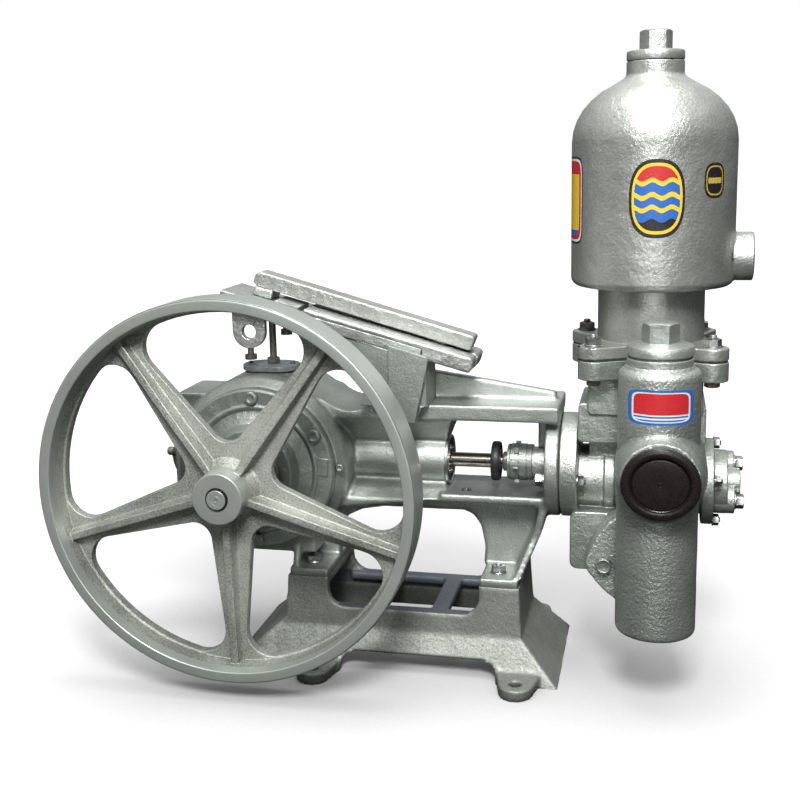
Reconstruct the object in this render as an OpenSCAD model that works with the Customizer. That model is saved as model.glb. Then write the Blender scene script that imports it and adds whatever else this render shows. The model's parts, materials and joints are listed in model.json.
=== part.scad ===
// Belt-driven horizontal piston pump: flywheel pulley, crankcase, open lantern,
// gland and rod, pump cylinder, front suction chamber and domed air vessel on a cast stand.
// The origin is on the floor, midway between the four foundation bolt holes.
// +X runs from the flywheel to the pump cylinder, -Y is the flywheel side, +Z is up.

/* [Stand] */
// Height of the stand up to the pads that carry the frame
stand_h = 99; // [90:1:110]
// Height of the low saddle between the two pads
saddle_h = 66; // [60:1:72]
// Height at which the stand's walls start to flare
knee_h = 44; // [36:1:50]
// Half depth of the stand at its pads
stand_top_y = 58; // [54:1:62]
// Half depth of the stand at the knee
stand_knee_y = 62; // [60:1:68]
// Half depth of the stand on the floor
stand_foot_y = 86; // [78:1:92]
// Wall thickness of the stand
stand_wall = 9; // [7:0.5:11]
// Distance between the foundation bolts along the pump
bolt_span_x = 223; // [210:1:236]
// Distance between the foundation bolts across the pump
bolt_span_y = 207; // [200:1:220]
// Diameter of the foundation bolt holes
bolt_hole_d = 13.5; // [11:0.5:15]
// Thickness of the foundation lugs
lug_t = 12; // [9:0.5:15]

/* [Drive] */
// Height of the crankshaft above the floor
shaft_h = 226; // [222:1:232]
// Distance of the crankshaft to the left of the origin
crank_left = 180; // [176:1:184]
// Outer diameter of the flywheel
wheel_d = 406; // [390:1:412]
// Width of the flywheel rim
rim_w = 43; // [40:1:54]
// Radial thickness of the flywheel rim
rim_t = 12; // [9:0.5:14]
// Distance from the rod's plane to the front of the rim
rim_front_y = 178; // [174:1:184]
// Number of spokes
spokes = 5; // [4:1:6]
// Width of a spoke
spoke_w = 24; // [20:1:30]
// Thickness of the spoke web
web_t = 11; // [8:0.5:14]
// Distance from the rim front to the spoke web
web_set = 26; // [22:1:30]
// Width of the raised rib on each spoke
rib_w = 9; // [7:0.5:12]
// Diameter of the flywheel hub
hub_d = 54; // [48:1:60]
// Distance that the hub stands in front of the rim
hub_out = 8; // [4:1:12]
// Diameter of the crankshaft
shaft_d = 23; // [20:0.5:26]
// Radial running clearance of the crankshaft in its bearings
shaft_gap = 0.05; // [0.03:0.01:0.08]

/* [Frame] */
// Radius of the crankcase
case_r = 100; // [96:1:103]
// Half width of the crankcase
case_y = 60; // [56:1:64]
// Radius of the crankcase cover
cover_r = 90; // [86:1:92]
// Thickness of the crankcase cover
cover_t = 13; // [10:1:16]
// Number of bolts in the crankcase cover
cover_bolts = 6; // [6:1:8]
// Distance from the crankshaft to the lantern's inner end
lantern_x0 = 205; // [200:1:208]
// Distance from the crankshaft to the joint of frame and cylinder
joint_x = 331; // [326:1:338]
// Thickness of the frame's round flange
frame_flange_t = 15; // [12:0.5:18]
// Diameter of the flanges of frame and cylinder
flange_d = 114; // [108:1:120]
// Half depth of the top rail
rail_y = 45; // [40:1:50]
// Thickness of the top rail
rail_t = 17; // [14:1:20]
// Height of the top rail's upper face above the rod
rail_top = 72; // [69:1:76]
// Half depth of the sill
sill_y = 41; // [37:1:45]
// Thickness of the sill
sill_t = 9; // [7:0.5:12]
// Distance from the rod down to the sill's upper face
sill_top = 29; // [27:0.5:31]
// Thickness of the frame's webs and ribs
frame_web = 12; // [10:1:16]
// Thickness of the frame's foot plates
foot_t = 9; // [7:0.5:12]

/* [Rod] */
// Diameter of the piston rod
rod_d = 16; // [14:0.5:18]
// Radial running clearance of the rod
rod_gap = 0.06; // [0.04:0.01:0.09]
// Stroke of the piston rod
stroke = 38; // [30:1:40]
// Diameter of the slinger ring on the rod
slinger_d = 44; // [40:1:48]
// Thickness of the slinger ring
slinger_t = 12; // [9:0.5:13]
// Diameter of the gland nut
gland_d = 41; // [38:0.5:44]
// Length of the gland nut
gland_len = 28; // [24:1:30]

/* [Pump end] */
// Distance from the crankshaft to the axis of the air vessel
vessel_x = 423; // [419:1:427]
// Outer diameter of the air vessel
vessel_d = 167; // [160:1:174]
// Height of the air vessel's lower edge above the rod
vessel_z0 = 199; // [194:1:204]
// Height of the air vessel's straight wall
vessel_wall_h = 147; // [140:1:154]
// Height of the air vessel's dome
dome_h = 66; // [60:1:70]
// Wall thickness of the air vessel
vessel_wall = 8; // [6:0.5:10]
// Diameter of the neck under the air vessel
neck_d = 110; // [104:1:116]
// Height of the neck flange's joint above the rod
neck_z = 128.5; // [125:0.5:132]
// Diameter of the suction chamber
tube_d = 80; // [77:1:83]
// Distance from the rod's plane to the axis of the suction chamber
tube_y = 100; // [97:1:104]
// Distance from the crankshaft to the axis of the suction chamber
tube_x = 433.5; // [431:0.5:438]
// Diameter of the cap on the suction port
port_d = 75; // [70:1:78]
// Distance of the suction port to the right of its chamber's axis
port_right = 2.5; // [0:0.5:4]
// Height of the suction port above the rod
port_z = 27; // [24:1:30]

/* [Motor platform] */
// Slope of the platform in degrees
tilt = 15.5; // [12:0.5:18]
// Depth of the platform
platform_w = 66; // [60:1:72]
// Distance from the rod's plane to the platform's front edge
platform_front = 58; // [56:1:61]
// Thickness of the rails on the platform
bar_t = 16.5; // [14:0.5:19]

/* [Hidden] */
$fn = 64;
// Hair's breadth by which a cut runs past a face
e = 0.01;
// Hair's breadth by which a screw stays under what it holds
touch = 0.1;
// Half of the whole pump's depth, for cuts that run right through
through = 200;
round_fn = 96;

// Frame whose origin is the crankshaft's axis in the rod's plane
module at_crank() { translate([-crank_left, 0, shaft_h]) children(); }
// Cylinders along the three axes
module bar_x(d, x0, x1) { translate([x0, 0, 0]) rotate([0, 90, 0]) cylinder(d = d, h = x1 - x0); }
module bar_y(d, y0, y1) { translate([0, y1, 0]) rotate([90, 0, 0]) cylinder(d = d, h = y1 - y0); }
module bar_z(d, z0, z1) { translate([0, 0, z0]) cylinder(d = d, h = z1 - z0); }
// A box from its lowest to its highest corner
module block(a, b) { translate(a) cube(b - a); }
// An outline in the XZ plane, given depth from y0 to y1
module side_plate(y0, y1) {
    translate([0, y1, 0]) rotate([90, 0, 0]) linear_extrude(y1 - y0) children();
}
// An outline in the YZ plane, given length from x0 to x1
module end_plate(x0, x1) {
    translate([x0, 0, 0]) rotate([90, 0, 90]) linear_extrude(x1 - x0) children();
}
// Point at an angle on a circle, and points of an arc
function polar(r, a) = [r * cos(a), r * sin(a)];
function arc(c, r, a0, a1, n = 8) = [for (i = [0:n]) c + polar(r, a0 + (a1 - a0) * i / n)];
// The same outline's other half, mirrored in its first number and read backwards
function mirrored(p) = concat(p, [for (i = [len(p) - 1:-1:0]) [-p[i][0], p[i][1]]]);
// The same points moved along, read backwards
function moved_back(p, d) = [for (i = [len(p) - 1:-1:0]) p[i] + d];
// Tangent points of two circles on the left side of the line from p to q
function tangents(p, rp, q, rq) =
    let (v = q - p, a = atan2(v[1], v[0]) + acos((rp - rq) / norm(v)))
    [p + polar(rp, a), q + polar(rq, a)];
// Outline that joins two circles by their tangents
module link(p, rp, q, rq) {
    a = atan2(q[1] - p[1], q[0] - p[0]);
    half = acos((rp - rq) / norm(q - p));
    polygon(concat(arc(q, rq, a - half, a + half, 12), arc(p, rp, a + half, a + 360 - half, 16)));
}
// Hexagon head with its flats af apart, standing on z = 0
module hex_head(af, h) { cylinder(d = af / cos(30), h = h, $fn = 6); }

// Stand
pad_left = [-152, -105];
pad_right = [66, 110];
foot_left = -216;
foot_right = 154;
shoulder_rise = 6;
shoulder_in = 4;
flare_in = 3;
saddle_r = 20;
arch_h = 20;
arch_r = 15;
arch_from_bolt = 25;
lug_nose = 18.6;
lug_root = 23;
lug_in = 4;
bar_left = [-60, -41];
bar_right = [11, 30];
window_y = 45;
window_past = 9;
module stand_side(t) {
    knee = knee_h + 0.4 * t;
    polygon([[foot_left + t, 0], [pad_left[0] - shoulder_in + t, knee + shoulder_rise],
        [pad_left[0] + t, stand_h - t], [pad_right[1] - t, stand_h - t],
        [pad_right[1] + flare_in - t, knee], [foot_right - t, 0]]);
}
module stand_end(t) {
    polygon(mirrored([[stand_foot_y - t, 0], [stand_knee_y - t, knee_h + 0.4 * t],
        [stand_top_y - t, stand_h - t]]));
}
module stand_body(t) {
    intersection() {
        side_plate(-stand_foot_y, stand_foot_y) stand_side(t);
        end_plate(foot_left, foot_right) stand_end(t);
    }
}
module saddle_cut() {
    x0 = pad_left[1];
    x1 = pad_right[0];
    polygon(concat([[x0, stand_h + 1]], arc([x0 + saddle_r, saddle_h + saddle_r], saddle_r, 180, 270),
        arc([x1 - saddle_r, saddle_h + saddle_r], saddle_r, 270, 360), [[x1, stand_h + 1]]));
}
module foot_arch() {
    x1 = bolt_span_x / 2 - arch_from_bolt;
    polygon(concat([[x1, -1]], arc([x1 - arch_r, arch_h - arch_r], arch_r, 0, 90),
        arc([arch_r - x1, arch_h - arch_r], arch_r, 90, 180), [[-x1, -1]]));
}
module saddle_window(x0, x1) {
    block([x0, -window_y, 0], [x1, window_y, stand_h]);
}
module stand() color("darkseagreen") difference() {
    union() {
        difference() {
            stand_body(0);
            translate([0, 0, -e]) stand_body(stand_wall);
            side_plate(-stand_foot_y, stand_foot_y) saddle_cut();
        }
        // Top of the saddle, with its three windows
        intersection() {
            stand_body(0);
            difference() {
                block([pad_left[1] - 2, -stand_foot_y, saddle_h - stand_wall],
                    [pad_right[0] + 2, stand_foot_y, saddle_h]);
                saddle_window(pad_left[1] - window_past, bar_left[0]);
                saddle_window(bar_left[1], bar_right[0]);
                saddle_window(bar_right[1], pad_right[0] + window_past);
            }
        }
        for (sx = [-1, 1], sy = [-1, 1]) linear_extrude(lug_t)
            link([sx * bolt_span_x / 2, sy * bolt_span_y / 2], lug_nose,
                [sx * bolt_span_x / 2, sy * (stand_foot_y - lug_in)], lug_root);
    }
    for (sx = [-1, 1], sy = [-1, 1]) translate([sx * bolt_span_x / 2, sy * bolt_span_y / 2, -1])
        cylinder(d = bolt_hole_d, h = lug_t + 2);
    side_plate(-through, through) foot_arch();
}

// Frame casting
foot_z = stand_h - shaft_h;
foot_top = foot_z + foot_t;
foot_plate_y = 58;
foot_bolt_y = 32;
foot_bolt_hole = 10.5;
foot_left_x = [30.5, 75.5];
foot_right_x = [joint_x - 84.5, joint_x - 43];
foot_bolt_x = [52, joint_x - 66.5];
sill_under = -sill_top - sill_t;
rail_under = rail_top - rail_t;
// Height at a share of the leg's height, counted down from the sill
function leg_z(k) = sill_under + k * (foot_top - sill_under);
arch_top = leg_z(0.25);
shoulder_y = 44;
shoulder_r = case_r - cover_r;
case_box_y = [-38, 36];
case_box_z = [-70, 76];
case_box_left = -case_r - 10;
case_box_lean = 16;
sump_z = foot_top + 14;
sump_x = [-44, 58];
sump_y = 45;
tube_guide_d = 46;
boss_d = 54;
boss_len = 39;
guide_bore = 42;
guide_depth = 14;
waist_y = 9;
waist_z = 20;
waist_slope = [27, 27];
arm_x0 = 55;
arm_under = sill_under - 14;
// Hollow in the top of the arm, beside the crankcase
arm_dip_at = [103, rail_top + 36];
arm_dip_r = 45;
rib_left = [150, 108];
rib_foot = 20;
rib_right_z = 81;
rib_end = 6;
strut_x = [joint_x - 26, joint_x - 19];
strut_under = 17.8;
box_neck_d = 31;
seat_gap = 0.4;
drain_d = 8;
drain_at = [22, -19];
leg_edge_t = 9;
leg_x0 = 34;
leg_edge = [[joint_x - 12, sill_under - e], [joint_x - 18, leg_z(0.36)],
    [joint_x - 29.5, leg_z(0.7)], [joint_x - 40, foot_top - 1]];
module case_profile() {
    polygon(concat([[0, -case_y], [cover_r, -case_y]],
        arc([cover_r, -shoulder_y], shoulder_r, -60, 0, 5),
        arc([cover_r, shoulder_y], shoulder_r, 0, 60, 5), [[cover_r, case_y], [0, case_y]]));
}
// Section of the arm: rail on top, waist at the guide tube, sill below
module arm_section() {
    polygon(mirrored([[rail_y, rail_top + 10], [rail_y, rail_under], [waist_y, waist_z],
        [waist_y, -waist_z], [waist_slope[0], -waist_slope[1]], [sill_y, sill_under], [sill_y, arm_under]]));
}
module arm_side() {
    polygon(concat([[arm_x0, arm_under], [arm_x0, rail_top + 9]],
        arc(arm_dip_at, arm_dip_r, 225, 303, 8), [[rib_left[0], rail_top], [lantern_x0 + 10, rail_top],
        [lantern_x0 + 10, rail_under], [lantern_x0, waist_z + 4], [lantern_x0, -sill_top],
        [lantern_x0 + 4, sill_under], [lantern_x0 - 14, sill_under], [lantern_x0 - 55, sill_under - 5]]));
}
module leg_left() {
    polygon([[leg_x0, -60], [leg_x0, foot_top - e], [leg_x0 + 41, foot_top - e], [leg_x0 + 42, leg_z(0.7)],
        [leg_x0 + 51, leg_z(0.42)], [leg_x0 + 70, leg_z(0.3)], [leg_x0 + 96, arch_top], [leg_x0 + 96, -30]]);
}
module leg_right() {
    polygon(concat(leg_edge, [[joint_x - 87, foot_top - e], [joint_x - 85.4, leg_z(0.76)],
        [joint_x - 90, leg_z(0.46)], [joint_x - 98, leg_z(0.31)], [joint_x - 109, arch_top],
        [leg_x0 + 86, arch_top], [leg_x0 + 86, sill_under]]));
}
// Width of a leg's end rib, which spreads towards the foot
module leg_spread() {
    polygon(mirrored([[foot_plate_y - 3, foot_top - 2], [foot_plate_y - 3, foot_top + 3],
        [sill_y + 1, leg_z(0.45)], [sill_y, sill_under + 1]]));
}
module frame() color("silver") at_crank() difference() {
    union() {
        rotate([90, 0, 0]) rotate_extrude($fn = round_fn) case_profile();
        // Box at the back of the crankcase
        side_plate(case_box_y[0], case_box_y[1]) polygon([[-case_r / 2, case_box_z[1]],
            [case_box_left + 8, case_box_z[1]], [case_box_left + 3, case_box_z[1] - 3],
            [case_box_left, case_box_z[1] - 10], [case_box_left, case_box_z[0]],
            [-case_r / 2, case_box_z[0] - case_box_lean]]);
        translate([plate_x, plate_y, case_r / 2]) linear_extrude(plate_z - case_r / 2)
            link([-plate_half, 0], plate_end_r - plate_seat_in, [plate_half, 0], plate_end_r - plate_seat_in);
        // Sump
        block([sump_x[0], -sump_y, sump_z], [sump_x[1], sump_y, -60]);
        // Arm from the crankcase to the lantern, with its guide tube
        intersection() {
            end_plate(0, through * 2) arm_section();
            side_plate(-through, through) arm_side();
        }
        bar_x(tube_guide_d, 60, lantern_x0 - boss_len + 4);
        bar_x(boss_d, lantern_x0 - boss_len, lantern_x0);
        // Top rail, rib on it, sill
        block([lantern_x0 - 4, -rail_y, rail_under], [joint_x, rail_y, rail_top]);
        side_plate(-frame_web / 2, frame_web / 2) polygon([[rib_left[0] - rib_foot, rail_top - 4],
            [joint_x - rib_end, rail_top - 4], [joint_x - rib_end, rib_right_z], rib_left,
            [rib_left[0] - rib_foot, rib_left[1]]]);
        block([lantern_x0 - 4, -sill_y, sill_under], [joint_x, sill_y, -sill_top]);
        // Flange, and the strut over the stuffing box
        bar_x(flange_d, joint_x - frame_flange_t, joint_x);
        block([strut_x[0], -4, strut_under], [strut_x[1], 4, rail_top - 4]);
        // Legs: a web and a spreading end rib each
        side_plate(-frame_web / 2, frame_web / 2) leg_right();
        side_plate(-frame_web / 2, frame_web / 2) leg_left();
        intersection() {
            union() {
                side_plate(-through, through)
                    polygon(concat(leg_edge, moved_back(leg_edge, [-leg_edge_t, 0])));
                block([leg_x0 - 1, -through, foot_top - 1], [leg_x0 + 7, through, -70]);
            }
            end_plate(0, joint_x) leg_spread();
        }
        // Foot plates
        for (f = [foot_left_x, foot_right_x])
            block([f[0], -foot_plate_y, foot_z], [f[1], foot_plate_y, foot_top]);
    }
    // Bore for the crankshaft
    bar_y(shaft_d + 2 * shaft_gap, -case_y - 1, 40);
    // Guide bore and its mouth
    bar_x(rod_d + 2 * rod_gap, rod_x0 - stroke - 6, lantern_x0 + 1);
    bar_x(guide_bore, lantern_x0 - guide_depth, lantern_x0 + 1);
    // Seat of the stuffing box
    bar_x(box_neck_d + seat_gap, joint_x - frame_flange_t - 1, joint_x + 1);
    // Drain hole in the sill, and holes for the foot bolts
    translate([lantern_x0 + drain_at[0], drain_at[1], 0]) bar_z(drain_d, sill_under - 1, -sill_top + 1);
    for (x = foot_bolt_x, s = [-1, 1]) translate([x, s * foot_bolt_y, 0])
        bar_z(foot_bolt_hole, foot_z - 1, foot_top + 1);
}

// Crankcase cover, with a flat bolted margin, a lip, a dish and a boss
cover_front = case_y + cover_t;
cover_bolt_r = cover_r - 9;
cover_bolt_head = [15, 6];
cover_lip_r = cover_r - 17;
cover_dish_r = cover_r - 38;
boss_out = 16;
bearing_ring_d = 68;
bearing_ring_t = 5;
module crankcase_cover() color("lightsteelblue") at_crank() rotate([90, 0, 0]) difference() {
    rotate_extrude($fn = round_fn) polygon([[0, case_y], [cover_r, case_y], [cover_r, cover_front - 3],
        [cover_r - 2, cover_front], [cover_lip_r, cover_front], [cover_lip_r - 1, cover_front + 2],
        [cover_lip_r - 4, cover_front + 2], [cover_lip_r - 7, cover_front - 2],
        [cover_dish_r, cover_front + 3], [cover_dish_r - 5, cover_front + boss_out],
        [0, cover_front + boss_out]]);
    translate([0, 0, case_y - 1]) cylinder(d = shaft_d + 2 * shaft_gap, h = cover_t + boss_out + 2);
}
module cover_bolt_set() color("gray") at_crank() rotate([90, 0, 0])
    for (i = [0:cover_bolts - 1]) rotate(90 + i * 360 / cover_bolts)
        translate([cover_bolt_r, 0, cover_front]) cylinder(d = cover_bolt_head[0], h = cover_bolt_head[1]);
module bearing_ring() color("gray") at_crank() rotate([90, 0, 0])
    translate([0, 0, cover_front + boss_out]) difference() {
        cylinder(d = bearing_ring_d, h = bearing_ring_t);
        translate([0, 0, -1]) cylinder(d = shaft_d + 2, h = bearing_ring_t + 2);
    }

// Crankshaft and flywheel
shaft_out = 1.5;
shaft_in = 36;
module crankshaft() color("dimgray") at_crank() bar_y(shaft_d, -rim_front_y - hub_out - shaft_out, shaft_in);
wheel_r = wheel_d / 2;
opening_r = wheel_r - rim_t - 5;
corner_r = 26;
inner_r = 19;
inner_at = 70;
hub_len = 70;
edge = 1.5;
rim_slope = 3;
corner_angle = asin((spoke_w / 2 + corner_r) / (opening_r - corner_r));
// Opening between two spokes: two wide corners at the rim, a round end at the hub
module spoke_opening() {
    a = 180 / spokes - corner_angle;
    c1 = polar(opening_r - corner_r, -a);
    c2 = polar(opening_r - corner_r, a);
    c3 = [inner_at, 0];
    flank = tangents(c3, inner_r, c2, corner_r)[0] - c3;
    turn = atan2(flank[1], flank[0]);
    polygon(concat(arc([0, 0], opening_r, -a + e, a - e, 12), arc(c2, corner_r, a, turn, 10),
        arc(c3, inner_r, turn, 360 - turn, 12), arc(c1, corner_r, -turn, -a, 10)));
}
// Rib on a spoke: a narrow ridge with sloping flanks, deeper at the hub
module spoke_rib() {
    intersection() {
        side_plate(-rib_w, rib_w) polygon([[20, -1], [20, 17], [hub_d / 2 + 8, 15],
            [wheel_r / 2, 13], [wheel_r - rim_t + 2, 8], [wheel_r - rim_t + 2, -1]]);
        end_plate(0, wheel_r) polygon(mirrored([[rib_w / 2 + 2.5, -1],
            [rib_w / 2, 6], [rib_w / 2 - 0.5, 20]]));
    }
}
module flywheel() color("darkseagreen") at_crank() translate([0, -rim_front_y, 0]) rotate([90, 0, 0])
    difference() {
    union() {
        translate([0, 0, -rim_w]) rotate_extrude($fn = 128) polygon([[wheel_r - rim_t, 0],
            [wheel_r - edge, 0], [wheel_r, edge], [wheel_r, rim_w - edge], [wheel_r - edge, rim_w],
            [wheel_r - rim_t, rim_w], [wheel_r - rim_t - rim_slope, rim_w - web_set],
            [wheel_r - rim_t - rim_slope, rim_w - web_set - web_t]]);
        translate([0, 0, -web_set - web_t]) linear_extrude(web_t) difference() {
            circle(wheel_r - rim_t - 1, $fn = 128);
            for (i = [0:spokes - 1]) rotate(-90 + (i + 0.5) * 360 / spokes) spoke_opening();
        }
        for (i = [0:spokes - 1]) rotate(-90 + i * 360 / spokes) translate([0, 0, -web_set]) spoke_rib();
        // Hub, spreading into the spokes
        translate([0, 0, hub_out - hub_len]) cylinder(d = hub_d, h = hub_len);
        translate([0, 0, -web_set - 1]) cylinder(d1 = hub_d + 18, d2 = hub_d, h = 10);
    }
    translate([0, 0, -through]) cylinder(d = shaft_d, h = 2 * through);
}

// Crankcase fittings
plate_x = 2;
plate_y = -8;
plate_z = case_r + 1;
plate_d = 66;
plate_half = 9;
plate_end_r = plate_d / 2 - plate_half;
plate_seat_in = 3;
plate_t = 6;
support_x = 4.5;
support_d = 8;
support_nut = [13, 7];
plug_z = 12;
plug_d = 12;
plug_out = 14;
plug_nut = [14, 9];
foot_nut = [15, 7];
module inspection_plate() color("slategray") at_crank()
    translate([plate_x, plate_y, plate_z]) linear_extrude(plate_t)
        link([-plate_half, 0], plate_end_r, [plate_half, 0], plate_end_r);
module support_screw() color("dimgray") at_crank() translate([support_x, plate_y, 0]) {
    translate([0, 0, plate_z + plate_t]) hex_head(support_nut[0], support_nut[1]);
    bar_z(support_d, plate_z + plate_t, under(support_x + support_d / 2) - touch);
}
module filler_plug() color("dimgray") at_crank() translate([case_box_left, 0, plug_z]) rotate([0, -90, 0]) {
    cylinder(d = plug_d, h = plug_out);
    hex_head(plug_nut[0], plug_nut[1]);
}
module foot_bolt_set() color("gray") at_crank() for (x = foot_bolt_x, s = [-1, 1])
    translate([x, s * foot_bolt_y, foot_top]) hex_head(foot_nut[0], foot_nut[1]);

// Motor bracket and platform. The pivot is where the platform's underside leaves its plate
pivot = [150, case_r + 34];
plate_end = 36;
plate_left = -196;
platform_t = 11;
function under(x) = pivot[1] - (x - pivot[0]) * tan(tilt);
module tilted() { translate([pivot[0], 0, pivot[1]]) rotate([0, tilt, 0]) children(); }
bracket_right = 192;
bracket_left = 76;
bracket_back = -frame_web / 2;
hollow_at = [66, rail_top + 24];
hollow_r = 58;
cheek_t = 8;
cheek_left = 152;
cheek_rise = 6;
cheek_corner_r = 8;
cheek_corner_in = 5;
cheek_taper = 12;
cheek_under = rail_top - 16;
module motor_bracket() color("lightslategray") at_crank() {
    side_plate(-platform_front, bracket_back) difference() {
        polygon([[bracket_right, rail_top], [bracket_right, under(bracket_right)],
            [bracket_left, under(bracket_left)], [bracket_left, rail_top]]);
        translate(hollow_at) circle(hollow_r);
    }
    // Cheek at the front, lapping over the rails above and the frame's rail below
    side_plate(-platform_front - cheek_t, -platform_front) polygon(concat(
        [[cheek_left, under(cheek_left) + cheek_rise]],
        arc([bracket_right - cheek_corner_in, under(bracket_right) - 1], cheek_corner_r, 90 - tilt, 0, 4),
        [[bracket_right - cheek_taper, cheek_under], [cheek_left, cheek_under]]));
    side_plate(-platform_front - 1, -rail_y) polygon([[cheek_left, rail_top + 1],
        [bracket_right - 4, rail_top + 1], [bracket_right - cheek_taper, cheek_under],
            [cheek_left, cheek_under]]);
}
front_bar_w = 26;
bar_gap = 2;
bar_left_end = -100;
bar_right_end = 92;
back_y = platform_w - platform_front;
raised_block = [-134, -106];
raised_block_in = 24;
ear_x = -14.5;
ear_z = case_r + 47;
ear_r = 19;
ear_hole = 16;
ear_t = 9;
ear_y = -25;
module platform_plate() color("silver") at_crank() {
    tilted() {
        block([plate_left, -platform_front, 0], [plate_end, back_y, platform_t]);
        block([raised_block[0], -platform_front, platform_t - 1],
            [raised_block[1], back_y - raised_block_in, bar_t]);
    }
    // Ear for the motor's tension screw
    side_plate(ear_y - ear_t, ear_y) difference() {
        union() {
            translate([ear_x, ear_z]) circle(ear_r);
            polygon([[ear_x - ear_r, ear_z], [ear_x - ear_r, under(ear_x - ear_r) + 2],
                [ear_x + ear_r, under(ear_x + ear_r) + 2], [ear_x + ear_r, ear_z]]);
        }
        translate([ear_x, ear_z]) circle(d = ear_hole);
    }
}
// A rail that laps over the plate and is full depth beyond it
module rail(y0, y1, x1) {
    tilted() side_plate(y0, y1) polygon([[bar_left_end, platform_t], [plate_end + 0.2, platform_t],
        [plate_end + 0.2, 0], [x1 - 2, 0], [x1, 3], [x1, bar_t - 3], [x1 - 3, bar_t], [bar_left_end, bar_t]]);
}
module front_rail() color("silver") at_crank()
    rail(-platform_front, -platform_front + front_bar_w, bar_right_end);
module middle_rail() color("silver") at_crank() 
    rail(-platform_front + front_bar_w + bar_gap, back_y, bar_right_end + 1);
// The upper rail rises to the left a little more than the plate: its underside and top at a place
upper_z = 18.5;
upper_lean = 0.7;
upper_left = -169;
upper_right = 83;
upper_y = [-35, -9];
upper_end_r = 8;
upper_cut = 3;
function upper_under(x) = upper_z + (upper_right - x) * tan(upper_lean);
function upper_top(x) = upper_under(x) + bar_t;
module upper_rail() color("silver") at_crank() tilted() side_plate(upper_y[0], upper_y[1])
    polygon(concat([[upper_right, upper_z], [upper_right + 2, upper_top(upper_right) - upper_cut],
        [upper_right, upper_top(upper_right)]],
        arc([upper_left + upper_end_r, upper_top(upper_left) - upper_end_r], upper_end_r, 90, 180, 5),
        [[upper_left, upper_under(upper_left) + upper_cut], [upper_left + 4, upper_under(upper_left + 4)]]));
// Pads that carry the upper rail: a wide one at the left end, a small one towards the right
pad_wide = [upper_left + 3, upper_left + 25];
pad_small = [40, 56];
module rail_pad() color("dimgray") at_crank() tilted() {
    side_plate(upper_y[0] - 1, upper_y[1] + 4) polygon([[pad_wide[0], platform_t], [pad_wide[1], platform_t],
        [pad_wide[1], upper_under(pad_wide[1])], [pad_wide[0], upper_under(pad_wide[0])]]);
    side_plate(upper_y[0] + 4, upper_y[1] - 4) polygon([[pad_small[0], bar_t], [pad_small[1], bar_t],
        [pad_small[1], upper_under(pad_small[1])], [pad_small[0], upper_under(pad_small[0])]]);
}
ear_screw_d = 7;
ear_screw_out = 12.5;
ear_screw_head = [13.5, 5.5];
module ear_screw() color("dimgray") at_crank() translate([ear_x, ear_y - ear_t / 2, ear_z - ear_r]) {
    bar_z(ear_screw_d, -ear_screw_out, 0);
    bar_z(ear_screw_head[0], -ear_screw_out, -ear_screw_out + ear_screw_head[1]);
}
platform_bolt_at = [22, -10];
platform_bolt_d = 8;
platform_bolt_z = case_r + 41;
platform_bolt_head = [13, 6];
module platform_bolt() color("dimgray") at_crank() translate([platform_bolt_at[0], platform_bolt_at[1], 0]) {
    bar_z(platform_bolt_d, platform_bolt_z, under(platform_bolt_at[0] + platform_bolt_d / 2) - touch);
    bar_z(platform_bolt_head[0], platform_bolt_z, platform_bolt_z + platform_bolt_head[1]);
}

// Rod, slinger, gland
rod_x0 = 152;
rod_x1 = joint_x + 60;
slinger_x = 252.5;
gland_x = 271.5;
throat_len = 5;
throat_d = 22;
box_d = 35;
box_in = 6;
box_past = 8;
module guide_ring() color("silver") at_crank() difference() {
    bar_x(guide_bore, lantern_x0 - guide_depth, lantern_x0 - guide_depth + 6);
    bar_x(rod_d + 2 * rod_gap, lantern_x0 - guide_depth - 1, lantern_x0);
}
module piston_rod() color("gainsboro") at_crank() bar_x(rod_d, rod_x0, rod_x1);
module slinger_ring() color("black") at_crank() translate([slinger_x, 0, 0]) rotate([0, 90, 0])
    rotate_extrude() polygon(concat([[rod_d / 2, 0], [rod_d / 2, slinger_t]],
        arc([(slinger_d - slinger_t) / 2, slinger_t / 2], slinger_t / 2, 90, -90)));
module stuffing_box() color("silver") at_crank() difference() {
    union() {
        bar_x(box_d, gland_x + gland_len - box_in, joint_x - frame_flange_t);
        bar_x(box_neck_d, joint_x - frame_flange_t - 1, joint_x + box_past);
    }
    bar_x(rod_d + 2 * rod_gap, gland_x, joint_x + box_past + 1);
}
module gland_nut() color("gray") at_crank() difference() {
    union() {
        bar_x(throat_d, gland_x - throat_len, gland_x + 1);
        bar_x(gland_d - 3, gland_x, gland_x + 2);
        bar_x(gland_d, gland_x + 2, gland_x + gland_len);
    }
    bar_x(rod_d + 2 * rod_gap, gland_x - throat_len - 1, joint_x);
    bar_x(box_d + 0.3, gland_x + gland_len - box_in, gland_x + gland_len + 1);
}
gasket_t = 1.2;
module joint_gasket() color("black") at_crank() difference() {
    bar_x(flange_d - 4, joint_x, joint_x + gasket_t);
    bar_x(box_neck_d + seat_gap, joint_x - 1, joint_x + gasket_t + 1);
}
flange_bolt_r = flange_d / 2 - 10;
flange_bolt_at = [98, 262];
joint_bolt = [13, 9];
joint_nut = [11, 7];
module flange_bolt_set() color("gray") at_crank() for (a = flange_bolt_at) rotate([a, 0, 0]) {
    translate([joint_x - frame_flange_t, 0, flange_bolt_r]) rotate([0, -90, 0])
        hex_head(joint_bolt[0], joint_bolt[1]);
    translate([cyl_x0 + cyl_flange_t, 0, flange_bolt_r]) rotate([0, 90, 0])
        hex_head(joint_nut[0], joint_nut[1]);
}

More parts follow.
